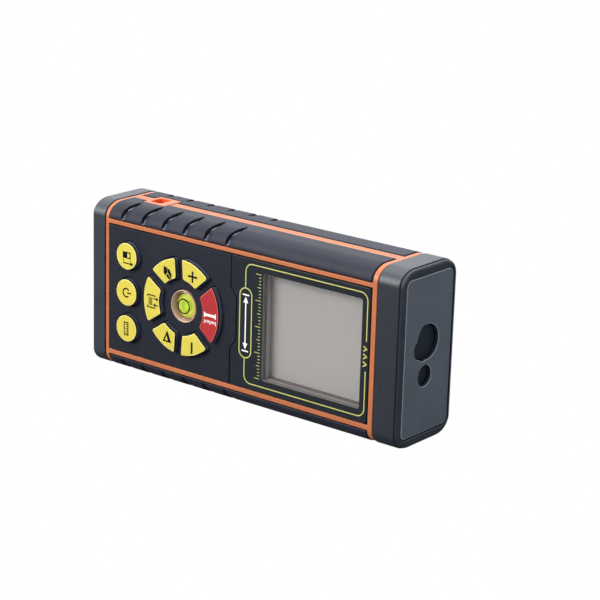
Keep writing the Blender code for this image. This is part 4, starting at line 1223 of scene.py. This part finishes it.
def key_outline(name, grow=0.0):
    if name in ROUND_KEYS:
        return circle(ROUND_KEY_X, MID_Z + ROUND_KEYS[name], ROUND_KEY_R + grow, 64)
    return sector(*RING_GAPS[name], grow)


def key_centre(name):
    if name in ROUND_KEYS:
        return ROUND_KEY_X, MID_Z + ROUND_KEYS[name]
    low, high = RING_GAPS[name]
    angle, radius = math.radians((low + high) / 2), (RING_OUT + RING_IN) / 2
    return RING_X + radius * math.cos(angle), MID_Z + radius * math.sin(angle)


# ---------------------------------------------------------------- front panels
PANEL_ROUND = 0.8
SEAM_Z = [
    PANEL.z[0],
    *[start + 4.0 * i / 12 for start in (16.0, 31.0) for i in range(13)],
    PANEL.z[1],
]


def seam(z):
    """The seam's x: it bulges towards the nose between its two bends."""
    return SEAM_X + SEAM_BULGE * ease((z - 16.0) / 4.0) * ease((35.0 - z) / 4.0)


def keypad():
    x = PANEL.x[0] + PANEL_ROUND
    outline = corner_points(x, PANEL.z[1] - PANEL_ROUND, PANEL_ROUND, 90.0)
    outline += corner_points(x, PANEL.z[0] + PANEL_ROUND, PANEL_ROUND, 180.0)
    outline += [(seam(z), z) for z in SEAM_Z]
    plate = slab_y("keypad_face", outline, *PANEL.y, 0.16, ("panel",))
    for key in KEYS:
        cut(plate, hole(key_outline(key, GAP), PANEL.y[0], 0.0, 0.14))
    cut(plate, hole(circle(*RING_CENTRE, LEVEL_R + GAP, 64), PANEL.y[0], 0.0, 0.14))
    done(plate, "keypad_matt", "keypad_panel")


def display():
    x = BEZEL.x[1] - PANEL_ROUND
    outline = [(seam(z) + GAP, z) for z in reversed(SEAM_Z)]
    outline += corner_points(x, BEZEL.z[0] + PANEL_ROUND, PANEL_ROUND, 270.0)
    outline += corner_points(x, BEZEL.z[1] - PANEL_ROUND, PANEL_ROUND, 0.0)
    plate = slab_y("display_face", outline, *BEZEL.y, 0.16, ("bezel", "holder_low"))
    x, z, play = WINDOW.x, WINDOW.z, 0.12
    opening = rounded(x[0] - play, x[1] + play, z[0] - play, z[1] + play, 0.7, 6)
    # the opening's wall gets the darker painted shade
    cut(plate, hole(opening, BEZEL.y[0], 0.0, 0.12, tag=1))
    done(plate, "bezel_gloss", "display_bezel")


def display_pane():
    outline = rounded(*WINDOW.x, *WINDOW.z, 0.6, 6)
    pane = slab_y("display_pane", outline, *WINDOW.y, 0.08, ("clear",))
    done(pane, "clear_plastic", "display_window")


def lcd_walls():
    """The grey frame round the display; its light tunnel is a little wider at the window."""
    mats = ("holder", "holder_low")
    outline = rounded(*HOLDER.x, *HOLDER.z, 0.6, 5)
    block = slab_y("lcd_walls", outline, *HOLDER.y, 0.15, mats)
    x, z = (9.8, 42.8), (10.2, 40.0)
    rings = []
    # y, widening of the tunnel
    for y, wide in (
        (-20.0, 0.25), (LEDGE - 0.1, 0.25), (LEDGE + 0.25, 0.0), (-8.9, -0.05), (-5.0, -0.05),
    ):
        outline = rounded(x[0] - wide, x[1] + wide, z[0] - wide, z[1] + wide, 0.6, 5)
        rings.append(at_y(outline, y))
    cut(
        block,
        loft("tunnel", rings, mats),
        box("pocket", (8.8, 43.8), (LCD.y[0] - GAP, 0.0), (9.3, 40.7)),
        box("flex_slot", (5.0, 9.0), (-8.2, 0.0), (19.9, 30.1)),
    )
    # the low wall of the tunnel gets a darker painted shade
    for face in block.data.polygons:
        y, z = section_place(face.center)
        low_wall = face.normal.z > 0.5 and z < 11.5 and y < LCD.y[0] - GAP
        if low_wall and 9.6 < face.center.x / MM < 43.0:
            face.material_index = 1
    done(block, "holder_grey", "lcd_holder")


def lcd_stack():
    """The display cell: a wide back glass, and a front glass that stands up into the tunnel."""
    front = rounded(9.86, 42.74, 10.26, 39.94, 0.5, 5)
    back = rounded(*LCD.x, *LCD.z, 0.4, 5)
    face, step = LCD.y[0] - 0.95, LCD.y[0]
    rings = [at_y(inset(front, pull), face + drop) for pull, drop in arc(0.12, 3)]
    rings += [at_y(front, step), at_y(back, step), at_y(back, LCD.y[1])]
    done(loft("lcd_glass", rings, ("lcd",)), "lcd_grey", "lcd_panel")


keypad()
display()
display_pane()
lcd_walls()
lcd_stack()


# ---------------------------------------------------------------- keys
def key(name, mat):
    """A rubber key with a coloured face, a painted highlight on its rounding and a dark painted
    shade below it, and a side, flange and round stem painted lighter against their shade.
    """
    x, z = key_centre(name)
    rings = [at_y(key_outline(name, -KEY_EDGE), KEY_TOP)]
    tags = []
    # the rounding: the face colour, then a painted highlight, then a dark painted shade
    for pull, drop in arc(KEY_EDGE, 7)[1:]:
        rings.append(at_y(key_outline(name, -pull), KEY_TOP + drop))
        tags.append(0 if pull > 0.30 else 3 if pull > 0.13 else 1)
    # the side: a dark painted shade at its top, then the skirt, painted lighter against its shade
    for y, grow, tag in (
        (KEY_TOP + 0.47, 0.0, 1),
        (FLANGE_Y[0], 0.0, 2),
        (FLANGE_Y[0], FLANGE - 0.1, 2),
        (FLANGE_Y[0] + 0.1, FLANGE, 2),
        (FLANGE_Y[1], FLANGE, 2),
    ):
        rings.append(at_y(key_outline(name, grow), y))
        tags.append(tag)
    # the stem under the flange, point for point
    stem = ((FLANGE_Y[1], PLUNGER_R), (PLUNGER_Y - 0.15, PLUNGER_R), (PLUNGER_Y, PLUNGER_R - 0.15))
    flange = key_outline(name, FLANGE)
    angles = [math.atan2(edge_z - z, edge_x - x) for edge_x, edge_z in flange]
    for y, radius in stem:
        rings.append([(x + radius * math.cos(a), y, z + radius * math.sin(a)) for a in angles])
        tags.append(2)
    mats = (mat, "key_side_painted_shade", "key_skirt_painted_light", mat + "_rim")
    cap = loft(name.replace("key_", "cap_"), rings, mats, tags, (0, 2))
    done(cap, "key_" + mat, name, body=name)


for name in KEYS:
    key(name, "red" if name == "key_measure" else "yellow")


# ---------------------------------------------------------------- printed marks
# A shape is (points, width, closed): a fill has no width. Points are (x, z).
def fill(*points):
    return points, None, True


def line(points, width, loop=False):
    return points, width, loop


def bar(x_low, x_high, z_low, z_high):
    return fill((x_low, z_low), (x_high, z_low), (x_high, z_high), (x_low, z_high))


def stroke_sides(points, width, loop):
    """The points moved half the width to the left, then to the right, of their run."""
    left, right = [], []
    n = len(points)
    for i in range(n):
        here = Vector(points[i])
        incoming = outgoing = None
        if loop or i > 0:
            incoming = (here - Vector(points[i - 1])).normalized()
        if loop or i < n - 1:
            outgoing = (Vector(points[(i + 1) % n]) - here).normalized()
        push = mitre(incoming or outgoing, outgoing or incoming, 0.35) * (width / 2)
        left.append((here.x + push.x, here.y + push.y))
        right.append((here.x - push.x, here.y - push.y))
    return left + right


def marks(name, shapes, face, mat, slot, body):
    """Printed shapes on a face that looks towards -Y, each a thin closed solid."""
    verts, faces = [], []
    for points, width, loop in shapes:
        n, base = len(points), len(verts)
        outline = points if width is None else stroke_sides(points, width, loop)
        for y in (face - 0.03, face + 0.05):
            verts.extend(at_y(outline, y))
        if width is None:
            faces.append(tuple(base + i for i in range(n)))
            faces.append(tuple(base + n + i for i in reversed(range(n))))
            for i in range(n):
                j = (i + 1) % n
                faces.append((base + i, base + j, base + n + j, base + n + i))
            continue
        left, right, left_2, right_2 = (base + k * n for k in range(4))
        for i in range(n if loop else n - 1):
            j = (i + 1) % n
            faces.append((left + i, left + j, right + j, right + i))
            faces.append((left_2 + i, right_2 + i, right_2 + j, left_2 + j))
            faces.append((left + i, left_2 + i, left_2 + j, left + j))
            faces.append((right + i, right + j, right_2 + j, right_2 + i))
        if not loop:
            for i in (0, n - 1):
                faces.append((left + i, right + i, right_2 + i, left_2 + i))
    obj = solid(name, verts, faces, (mat,))
    done(obj, slot, body=body, angle=30.0, weighted=False)


def key_mark(what, shapes, mat="ink_black", slot="part_black"):
    marks("mark_" + what, shapes, KEY_TOP, mat, slot, "key_" + what)


def face_mark(name, shapes, mat="ink_line", slot="key_yellow"):
    marks(name, shapes, BEZEL.y[0], mat, slot, "housing")


key_mark("plus", [fill(
    (-16.98, 34.60), (-15.64, 34.60), (-15.64, 33.2), (-15.04, 33.2), (-15.04, 34.60),
    (-13.65, 34.60), (-13.65, 35.20), (-15.04, 35.20), (-15.04, 36.5), (-15.64, 36.5),
    (-15.64, 35.20), (-16.98, 35.20),
)])
key_mark("minus", [bar(-15.64, -15.0, 12.2, 15.6)])
# area and volume: a box seen from a corner, dark faces with light edges between them
key_mark("area", [
    fill((-26.3, 36.0), (-25.2, 35.75), (-24.85, 34.4), (-25.5, 33.35), (-26.3, 33.85)),
    fill((-25.03, 35.7), (-24.0, 35.2), (-23.3, 34.0), (-23.35, 32.75), (-24.68, 34.2)),
    fill((-25.35, 33.2), (-24.72, 33.95), (-23.5, 32.6), (-24.0, 32.3)),
])
# indirect height: a triangle with one heavy side
key_mark("indirect", [
    line([(-24.75, 16.6), (-26.1, 13.85), (-23.5, 13.8)], 0.42, True),
    fill((-24.78, 16.3), (-23.5, 13.9), (-24.45, 13.9), (-24.95, 15.4)),
])
# stored values: a page of lines with an arrow in and an arrow out
key_mark("memory", [
    line([(-29.35, 26.3), (-32.4, 26.3), (-32.4, 25.8)], 0.34),
    line([(-29.35, 22.66), (-32.4, 22.66), (-32.4, 23.2)], 0.34),
    bar(-32.0, -31.72, 23.25, 25.75),
    bar(-31.45, -31.2, 23.25, 25.75),
    bar(-30.93, -30.68, 23.25, 25.75),
    bar(-30.3, -28.95, 25.28, 25.6),
    fill((-29.05, 24.8), (-28.2, 25.44), (-29.05, 26.08)),
    bar(-29.5, -28.2, 23.4, 23.72),
    fill((-29.45, 24.2), (-30.3, 23.56), (-29.45, 22.92)),
])
# measure: a white distance bar with end stops, and a row of scale ticks
scale = [(-10.75 + 0.51 * k, 22.35 if k % 4 == 0 else 22.75) for k in range(9)]
key_mark("measure", [
    fill(
        (-10.85, 25.75), (-10.45, 25.75), (-10.45, 25.35), (-6.85, 25.35), (-6.85, 25.75),
        (-6.45, 25.75), (-6.45, 24.25), (-6.85, 24.25), (-6.85, 24.62), (-10.45, 24.62),
        (-10.45, 24.25), (-10.85, 24.25),
    ),
    *[bar(x, x + 0.24, z, 23.45) for x, z in scale],
], "ink_white", "dome_film")
# reference edge: a body half dark, an arrow leaving its end
key_mark("reference", [
    bar(-42.3, -40.55, 35.35, 37.25),
    line([(-40.6, 37.1), (-39.4, 37.1), (-39.4, 35.5), (-40.6, 35.5)], 0.34),
    bar(-42.1, -39.1, 33.72, 34.04),
    fill((-39.2, 33.2), (-38.25, 33.88), (-39.2, 34.56)),
    bar(-42.15, -41.95, 34.2, 35.0),
    bar(-39.45, -39.25, 34.4, 35.1),
])
# off: the common power symbol, its stroke towards the nose
x, z = key_centre("key_clear")
angles = [math.radians(degrees) for degrees in range(38, 323, 12)]
power = [(x + 1.25 * math.cos(a), z + 1.25 * math.sin(a)) for a in angles]
key_mark("clear", [line(power, 0.42), bar(x + 0.35, x + 1.95, z - 0.21, z + 0.21)])
# unit: a short ruler
x, z = key_centre("key_unit")
ruler = [(x - 0.75, z - 1.9), (x + 0.75, z - 1.9), (x + 0.75, z + 1.9), (x - 0.75, z + 1.9)]
shapes = [line(ruler, 0.32, True)]
for k in range(5):
    tick_z = z - 1.35 + 0.675 * k
    shapes.append(bar(x - (0.05 if k % 2 else 0.3), x + 0.6, tick_z - 0.12, tick_z + 0.12))
key_mark("unit", shapes)


def display_line():
    """The line round the display, broken on the nose side and behind the pill, and the pill."""
    x, z, radius = (2.95, 44.98), (7.72, 42.3), 2.3
    left, right = x[0] + radius, x[1] - radius
    bottom, top = z[0] + radius, z[1] - radius
    upper = [
        (x[1], 29.0),
        *corner_points(right, top, radius, 0.0, 10),
        *corner_points(left, top, radius, 90.0, 10),
        (x[0], 35.45),
    ]
    lower = [
        (x[0], 14.7),
        *corner_points(left, bottom, radius, 180.0, 10),
        *corner_points(right, bottom, radius, 270.0, 10),
        (x[1], 20.6),
    ]
    pill = rounded(0.98, 5.25, 14.95, 35.15, 2.1, 10)
    face_mark("display_line", [line(upper, 0.30), line(lower, 0.30), line(pill, 0.32, True)])


def pill_mark(x=3.12):
    """Inside the pill: a plain distance symbol, two stops and a double arrow."""
    face_mark("pill_mark", [
        bar(x - 1.15, x + 1.15, 33.0, 33.4),
        bar(x - 1.15, x + 1.15, 16.7, 17.1),
        bar(x - 0.2, x + 0.2, 19.2, 30.9),
        fill((x - 0.85, 30.9), (x + 0.85, 30.9), (x, 32.7)),
        fill((x + 0.85, 19.2), (x - 0.85, 19.2), (x, 17.4)),
    ], "ink_white", "dome_film")


def scale_ticks(end=8.5, top=39.95, pitch=0.94):
    """Beside the display: a plain scale of ticks."""
    ticks = []
    for k in range(33):
        z = top - pitch * k
        length = 1.9 if k % 8 == 0 else 1.25 if k % 4 == 0 else 0.75
        ticks.append(bar(end - length, end, z - 0.09, z + 0.09))
    face_mark("scale_ticks", ticks)


def nose_chevrons(top=26.9, pitch=2.15):
    """In the gap of the line: three chevrons that point towards the nose."""
    chevrons = []
    for k in range(3):
        z = top - pitch * k
        chevrons.append(line([(44.1, z + 0.7), (45.2, z), (44.1, z - 0.7)], 0.34))
    face_mark("nose_chevrons", chevrons)


display_line()
pill_mark()
scale_ticks()
nose_chevrons()


# ---------------------------------------------------------------- level
# profiles are (radius, y)
def level_turned(name, profile, steps, mats, slot, node, tags=None, **finish):
    done(turned(name, profile, RING_CENTRE, steps, mats, tags), slot, node, **finish)


def level():
    ring = [
        (4.34, -12.35), (4.40, -12.6), (4.5, -12.75), (4.6, -12.8), (4.7, -12.76),
        (LEVEL_R - 0.02, -12.62), (LEVEL_R, -12.45), (LEVEL_R, LEDGE),
        (LEVEL_R + LEVEL_FLANGE, LEDGE), (LEVEL_R + LEVEL_FLANGE, -10.3), (4.3, -10.3),
        (4.3, -11.9),
    ]
    obj = hoop("level_ring", ring, ("ring", "well"), [0] * 9 + [1] * 3)
    done(obj, "level_amber", "level_bezel", angle=60.0)
    vial = [
        (0, -12.62), (1.2, -12.6), (2.3, -12.52), (3.2, -12.38), (3.9, -12.2), (4.05, -12.05),
        (4.05, -9.9), (3.76, -9.9), (3.76, -11.3), (3.71, -11.42), (3.5, -11.6), (0, -11.66),
    ]
    walls = [0, 0, 0, 0, 1, 1, 1, 1, 1, 0, 0]
    level_turned("level_vial_shell", vial, 64, ("vial", "well"), "clear_plastic",
                 "level_vial", walls, angle=60.0)
    fluid = [
        (0, -11.28), (2.2, -11.27), (3.3, -11.28), (3.5, -11.24), (3.68, -11.08), (3.68, -9.7),
        (3.55, -9.6), (0, -9.6),
    ]
    level_turned("level_fluid", fluid, 64, ("liquid",), "level_green", "level_liquid", angle=60.0)
    angles = [math.radians(degrees) for degrees in range(15, 166, 10)]
    air = [(1.78 * math.sin(a), -11.44 - 0.12 * math.cos(a)) for a in angles]
    level_turned("level_air", [(0, -11.56), *air, (0, -11.32)], 48, ("bubble",),
                 "bubble_green", "level_bubble", body="level_bubble", angle=60.0)
    seat = [
        (0, -9.3), (4.9, -9.3), (5.25, -9.2), (5.4, -9.05), (5.4, -8.65), (5.25, -8.5),
        (0, -8.5),
    ]
    level_turned("level_foot", seat, 48, ("black",), "part_black", "level_seat")
    # the centring circle sits on top of the vial
    circle_profile = [(1.92, -12.50), (1.92, -12.592), (2.28, -12.566), (2.28, -12.48)]
    obj = hoop("level_circle", circle_profile, ("ink_black",))
    done(obj, "part_black", weighted=False)


level()


# ---------------------------------------------------------------- nose
# rounds merged into the receiver opening: y, z from its centre, radius
RECEIVER_ROUNDS = (
    (0.0, 0.0, RECEIVER_R - 0.03), (-3.35, -1.5, 2.85), (-1.7, -2.0, 3.15), (-1.35, 2.55, 2.5),
)


def receiver_outline(steps=120):
    """The receiver opening: its merged rounds as a single star-shaped outline."""
    centre_y, centre_z = RECEIVER[0] - 0.1, RECEIVER[1] - 0.3
    out = []
    for i in range(steps):
        angle = 2 * math.pi * i / steps
        cos, sin = math.cos(angle), math.sin(angle)
        reach = 0.0
        for y, z, radius in RECEIVER_ROUNDS:
            along = y * cos + z * sin
            inside = radius * radius - (y * y + z * z) + along * along
            if inside >= 0.0:
                reach = max(reach, along + math.sqrt(inside))
        out.append((centre_y + reach * cos, centre_z + reach * sin))
    return out


def nose_plate():
    back, face = PLATE.x
    rings = [at_x(plate_outline(pull), face - drop) for pull, drop in arc(0.26)]
    rings.append(at_x(plate_outline(), back))
    # the rounded rim rings take the painted highlight
    plate = loft("nose_face", rings, ("plate", "hole_wall_painted_shade", "plate_rim"), [2, 2, 2, 2, 0])
    for outline in (receiver_outline(), circle(*LASER, LASER_R)):
        cut(plate, hole(outline, face, 50.0, tag=1, at=at_x))
    # painted highlight on the lips of the holes, as on the plate's rounded rim; their walls keep a
    # darker painted shade
    for polygon in plate.data.polygons:
        if polygon.material_index == 1 and polygon.center.x / MM > face - 0.16:
            polygon.material_index = 2
    done(plate, "nose_plate_grey", "nose_plate")


def disc_window(name, node, centre):
    extent = span(node)
    back, face = extent.x
    radius = (extent.z[1] - extent.z[0]) / 2
    profile = [
        (0, back), (radius - 0.1, back), (radius, back + 0.1), (radius, face - 0.25),
        (radius - 0.08, face - 0.08), (radius - 0.25, face), (0, face),
    ]
    pane = turned(name, profile, centre, 56, ("window_dark",), axis="X")
    done(pane, "window_dark", node)


nose_plate()
disc_window("receiver_pane", "receiver_window", RECEIVER)
disc_window("laser_pane", "laser_window", LASER)


# ---------------------------------------------------------------- back
def back_cover():
    inner, face = COVER.y
    outline = rounded(*COVER.x, *COVER.z, 0.8, 6)
    plate = slab_y("back_skin", outline, face, inner, 0.18, ("panel",))
    cut(
        plate,
        hole(rounded(*DOOR_OPEN_X, *DOOR_OPEN_Z, 0.35, 4), face, 0.0, 0.12),
        box("pin_notch", (HINGE_X - 0.55, HINGE_X + 0.55), (10.0, 12.15), (12.0, 38.0)),
        *[hole(circle(x, z, 2.2, 36), face, 5.0, 0.2) for x, z in CASE_SCREWS],
    )
    # a shallow plain field for a data plate, left blank
    cut(plate, hole(rounded(11.0, 34.5, 15.0, 35.0, 1.4, 6), face, face - 0.3, 0.1))
    done(plate, "case_navy", "back_cover")


def door():
    """The battery door, with its hinge pins at the +X end and thumb lines at the other."""
    face, inner = BACK, BACK - DOOR_THICK
    (x_low, x_high), (z_low, z_high) = DOOR_X, DOOR_Z
    # section across Z as (x, y)
    profile = [(x_low + 0.12, inner), (x_low, inner + 0.12)]
    profile += [(x_low + pull, face - drop) for pull, drop in reversed(arc(0.18, 3))]
    profile += [(x_high - pull, face - drop) for pull, drop in arc(0.35, 5)]
    profile += [(x_high, inner + 0.4), (x_high - 0.09, inner + 0.12), (x_high - 0.3, inner)]

    def ring(pull, z):
        low, high = x_low + pull, x_high - pull
        return at_z([(min(max(x, low), high), min(y, face - pull)) for x, y in profile], z)

    edge = arc(0.14, 3)
    rings = [ring(pull, z_low + drop) for pull, drop in edge]
    rings += [ring(pull, z_high - drop) for pull, drop in reversed(edge)]
    lid = loft("door_lid", rings, ("panel",))
    pin = circle(HINGE_X, HINGE_Y, 0.4, 24)
    join(lid, *[
        loft("pin", [at_z(pin, z) for z in ends], ("panel",))
        for ends in ((z_low - 0.9, z_low + 1.0), (z_high - 1.0, z_high + 0.9))
    ])
    # thumb lines: x, half length
    for x, half in ((-44.0, 5.0), (-42.2, 4.2), (-40.4, 3.4)):
        groove = rounded(x - 0.35, x + 0.35, MID_Z - half, MID_Z + half, 0.34, 6)
        cut(lid, hole(groove, face, face - 0.5, 0.12))
    # a sunk triangle beside the thumb lines, pointing towards the tail
    arrow = [(-39.1, MID_Z), (-37.6, MID_Z + 1.5), (-37.6, MID_Z - 1.5)]
    cut(lid, hole(arrow, face, face - 0.3, 0.06))
    done(lid, "case_navy", "battery_door", body="battery_door")


back_cover()
door()


# ---------------------------------------------------------------- screws, cells, springs
def screw(name, node, centre):
    """A threaded screw with a domed head and a cross recess."""
    tip, head = span(node).y
    profile = [(0, tip), (0.35, tip + 0.25), (0.95, tip + 1.2)]
    thread = tip + 1.2
    while thread < head - 1.9:
        profile += [(1.0, thread + 0.1), (0.78, thread + 0.45)]
        thread += 0.7
    profile += [(0.85, head - 1.4), (1.75, head - 1.4), (1.88, head - 1.28), (1.9, head - 0.6)]
    for angle in map(math.radians, (25, 50, 70, 90)):
        radius = 1.9 - 0.5 * (1 - math.cos(angle))
        profile.append((radius, head - 0.6 + 0.6 * math.sin(angle)))
    profile.append((0, head))
    body = turned(name, profile, centre, 36, ("steel",))

    def slot(turn, length, width):
        outline = [(-length, -width), (length, -width), (length, width), (-length, width)]
        if turn:
            outline = [(second, -first) for first, second in outline]
        return [(centre[0] + first, centre[1] + second) for first, second in outline]

    half_length, half_width = 1.15, 0.26
    for turn in (0, 90):
        top = slot(turn, half_length, half_width)
        floor = slot(turn, half_length * 0.6, half_width * 0.8)
        # the two slots differ a hair in depth so that no faces coincide
        cut(body, loft("cross", [
            at_y(top, head + 0.5),
            at_y(top, head - 0.02 - turn * 0.0001),
            at_y(floor, head - 0.75 - turn * 0.0006),
        ], ("steel",)))
    done(body, "plated_steel", node)


def cell(name, node, z, plus, minus):
    """A round cell along X between its flat end and its button end."""
    sign = 1 if plus > minus else -1
    # radius, distance from the flat end inwards
    flat_end = [(4.3, 0.08), (4.6, 0.1), (5.0, 0.15), (CELL_R, 0.5)]
    # radius, distance from the button's top inwards
    button_end = [
        (CELL_R, 1.6), (5.15, 1.25), (4.85, 0.98), (4.7, 0.95), (3.2, 0.92), (2.15, 0.9),
        (1.95, 0.75), (1.9, 0.2), (1.75, 0.03),
    ]
    profile = [(0, minus), (4.1, minus)]
    profile += [(radius, minus + sign * distance) for radius, distance in flat_end]
    profile += [(radius, plus - sign * distance) for radius, distance in button_end]
    profile.append((0, plus))
    tags = [1] * 3 + [0] * 6 + [1] * 6
    body = turned(name, profile, (CELL_Y, z), 56, ("sleeve", "steel"), tags, axis="X")
    done(body, "cell_sleeve", node)


def spring(name, node, z, x_base, x_tip):
    """A conical coil along X, wide at its base."""
    turns, steps, wire, around = 3.5, 26, 0.3, 10
    count = int(turns * steps)
    rings = []
    for i in range(count + 1):
        share = i / count
        angle, radius = 2 * math.pi * turns * share, 3.3 - 1.4 * share
        cos, sin = math.cos(angle), math.sin(angle)
        x = x_base + (x_tip - x_base) * share
        climb = (x_tip - x_base) / (2 * math.pi * turns)
        out = Vector((0.0, cos, sin))
        along = Vector((climb, -radius * sin, radius * cos)).normalized()
        side = along.cross(out)
        centre = Vector((x, CELL_Y, z)) + out * radius
        bends = [2 * math.pi * k / around for k in range(around)]
        rings.append([
            tuple(centre + wire * (math.cos(b) * out + math.sin(b) * side)) for b in bends
        ])
    done(loft(name, rings, ("steel",)), "plated_steel", node, weighted=False)


for k, at in enumerate(CASE_SCREWS):
    screw(f"case_screw_head_{k + 1}", f"case_screw_{k + 1}", at)
upper_x, lower_x = span("battery_1").x, span("battery_2").x
cell("cell_upper", "battery_1", CELL_Z[1], plus=upper_x[1], minus=upper_x[0])
cell("cell_lower", "battery_2", CELL_Z[0], plus=lower_x[0], minus=lower_x[1])
spring("spring_upper", "battery_spring_1", CELL_Z[1], x_base=-46.75, x_tip=-44.25)
spring("spring_lower", "battery_spring_2", CELL_Z[0], x_base=1.15, x_tip=-1.55)


# ---------------------------------------------------------------- carried-over nodes
CARRIED = {
    "flex": ["lcd_flex"],
    "board": ["main_board", "sensor_board"],
    "film": ["dome_sheet"],
    "black": ["buzzer"],
    "zinc": ["optical_bracket"],
    "brass": ["laser_barrel"],
    "glass": ["laser_lens", "receiver_lens"],
    "steel": ["sensor_shield", "contact_front", "contact_plus", "contact_minus",
              "bracket_screw_1", "bracket_screw_2"],
}
for mat, nodes in CARRIED.items():
    for node in nodes:
        for slot in NODES[node].material_slots:
            slot.material = MATERIALS[mat]


# ---------------------------------------------------------------- floor, light, camera
scene = bpy.context.scene


def floor(half=3.0):
    """A pale sheet: plain white to the eye, a soft grey to the light that bounces off it."""
    tree = Material("floor", "floor_pale")
    path = tree.node("ShaderNodeLightPath")
    cloud = tree.remap(tree.noise(0.004, rough=0.5), (0.3, 0.7))
    colour = tree.mix(cloud, (0.36, 0.37, 0.40), (0.40, 0.41, 0.44))
    matt = tree.node("ShaderNodeBsdfDiffuse", {"Color": colour})
    white = tree.node("ShaderNodeEmission", {"Strength": 1.0})
    dim = tree.node("ShaderNodeEmission", {"Color": (0.10, 0.105, 0.12)})
    bounced = tree.mix_shaders(path.outputs["Is Glossy Ray"], matt.outputs[0], dim.outputs[0])
    seen = tree.mix_shaders(path.outputs["Is Camera Ray"], bounced, white.outputs[0])
    tree.surface(seen)
    mesh = bpy.data.meshes.new("floor")
    corners = [(-half, -half, 0), (half, -half, 0), (half, half, 0), (-half, half, 0)]
    mesh.from_pydata(corners, [], [(0, 1, 2, 3)])
    obj = bpy.data.objects.new("floor", mesh)
    mesh.materials.append(MATERIALS["floor"])
    obj.location.z = CAD_LO.z - 0.0002
    scene.collection.objects.link(obj)


def studio():
    """A white sweep behind the object, a dim room behind the camera, white to the eye."""
    world = bpy.data.worlds.new("studio")
    scene.world = world
    tree = Nodes(world)
    where = tree.node("ShaderNodeTexCoord").outputs["Generated"]

    def facing(direction):
        inputs = {0: where, 1: direction}
        dot = tree.node("ShaderNodeVectorMath", inputs, operation="DOT_PRODUCT")
        return tree.maths("MAXIMUM", dot.outputs["Value"], 0.0)

    behind = tree.maths("POWER", facing(Vector((-0.60, 0.75, 0.28)).normalized()), 2.0)
    sky = facing((0.0, 0.0, 1.0))
    sweep_light = tree.maths("MULTIPLY", behind, 1.7)
    sky_light = tree.maths("MULTIPLY", sky, 0.45)
    light = tree.maths("ADD", tree.maths("ADD", sweep_light, sky_light), 0.16)
    glow = tree.node("ShaderNodeBackground", {"Color": (0.95, 0.98, 1.0), "Strength": light})
    plain = tree.node("ShaderNodeBackground", {"Color": (1.0, 1.0, 1.0)})
    camera_ray = tree.node("ShaderNodeLightPath").outputs["Is Camera Ray"]
    blend = tree.mix_shaders(camera_ray, glow.outputs[0], plain.outputs[0])
    tree.node("ShaderNodeOutputWorld", {"Surface": blend})


def area(name, at, size, energy, colour=(1, 1, 1)):
    """A rectangular lamp aimed at the middle of the body. Places and sizes in metres."""
    lamp = bpy.data.lights.new(name, "AREA")
    lamp.shape = "RECTANGLE"
    lamp.size, lamp.size_y = size
    lamp.energy = energy
    lamp.color = colour
    obj = bpy.data.objects.new(name, lamp)
    obj.location = at
    aim = Vector((0.0, 0.0, 0.025)) - Vector(at)
    obj.rotation_euler = aim.to_track_quat("-Z", "Y").to_euler()
    scene.collection.objects.link(obj)


def camera():
    """Looks down at the nose and the keys, with the body's middle a little off centre."""
    azimuth, elevation = math.radians(39.40), math.radians(17.077)
    roll = math.radians(1.382)
    distance = 568.14
    # how far the view axis leans from the line to the body's middle, as tangents
    lean_right, lean_up = 0.017122442, 0.0056430812
    away = Vector((
        math.sin(azimuth) * math.cos(elevation),
        -math.cos(azimuth) * math.cos(elevation),
        math.sin(elevation),
    ))
    forward = -away
    level_right = forward.cross(Vector((0, 0, 1))).normalized()
    level_up = level_right.cross(forward)
    right = level_right * math.cos(roll) + level_up * math.sin(roll)
    up = level_up * math.cos(roll) - level_right * math.sin(roll)
    view = (forward + right * lean_right + up * lean_up).normalized()
    view_right = (right - view * right.dot(view)).normalized()
    turn = Matrix((view_right, view_right.cross(view), -view)).transposed()
    data = bpy.data.cameras.new("camera")
    data.lens = 120.498
    data.sensor_width = 36.0
    data.clip_start, data.clip_end = 0.01, 20.0
    obj = bpy.data.objects.new("camera", data)
    eye = place((0.0, 0.0, MID_Z)) + away * distance * MM
    obj.matrix_world = Matrix.Translation(eye) @ turn.to_4x4()
    scene.collection.objects.link(obj)
    scene.camera = obj


floor()
studio()
area("top_soft", (-0.10, 0.10, 0.75), size=(0.9, 0.7), energy=6.0)
area("front_left", (-0.42, -0.60, 0.40), size=(0.45, 0.45), energy=8.0, colour=(1.0, 0.985, 0.96))
area("nose_fill", (0.75, -0.10, 0.40), size=(0.4, 0.5), energy=3.0, colour=(0.93, 0.98, 1.0))
camera()
scene.view_settings.view_transform = "Standard"
scene.view_settings.look = "None"
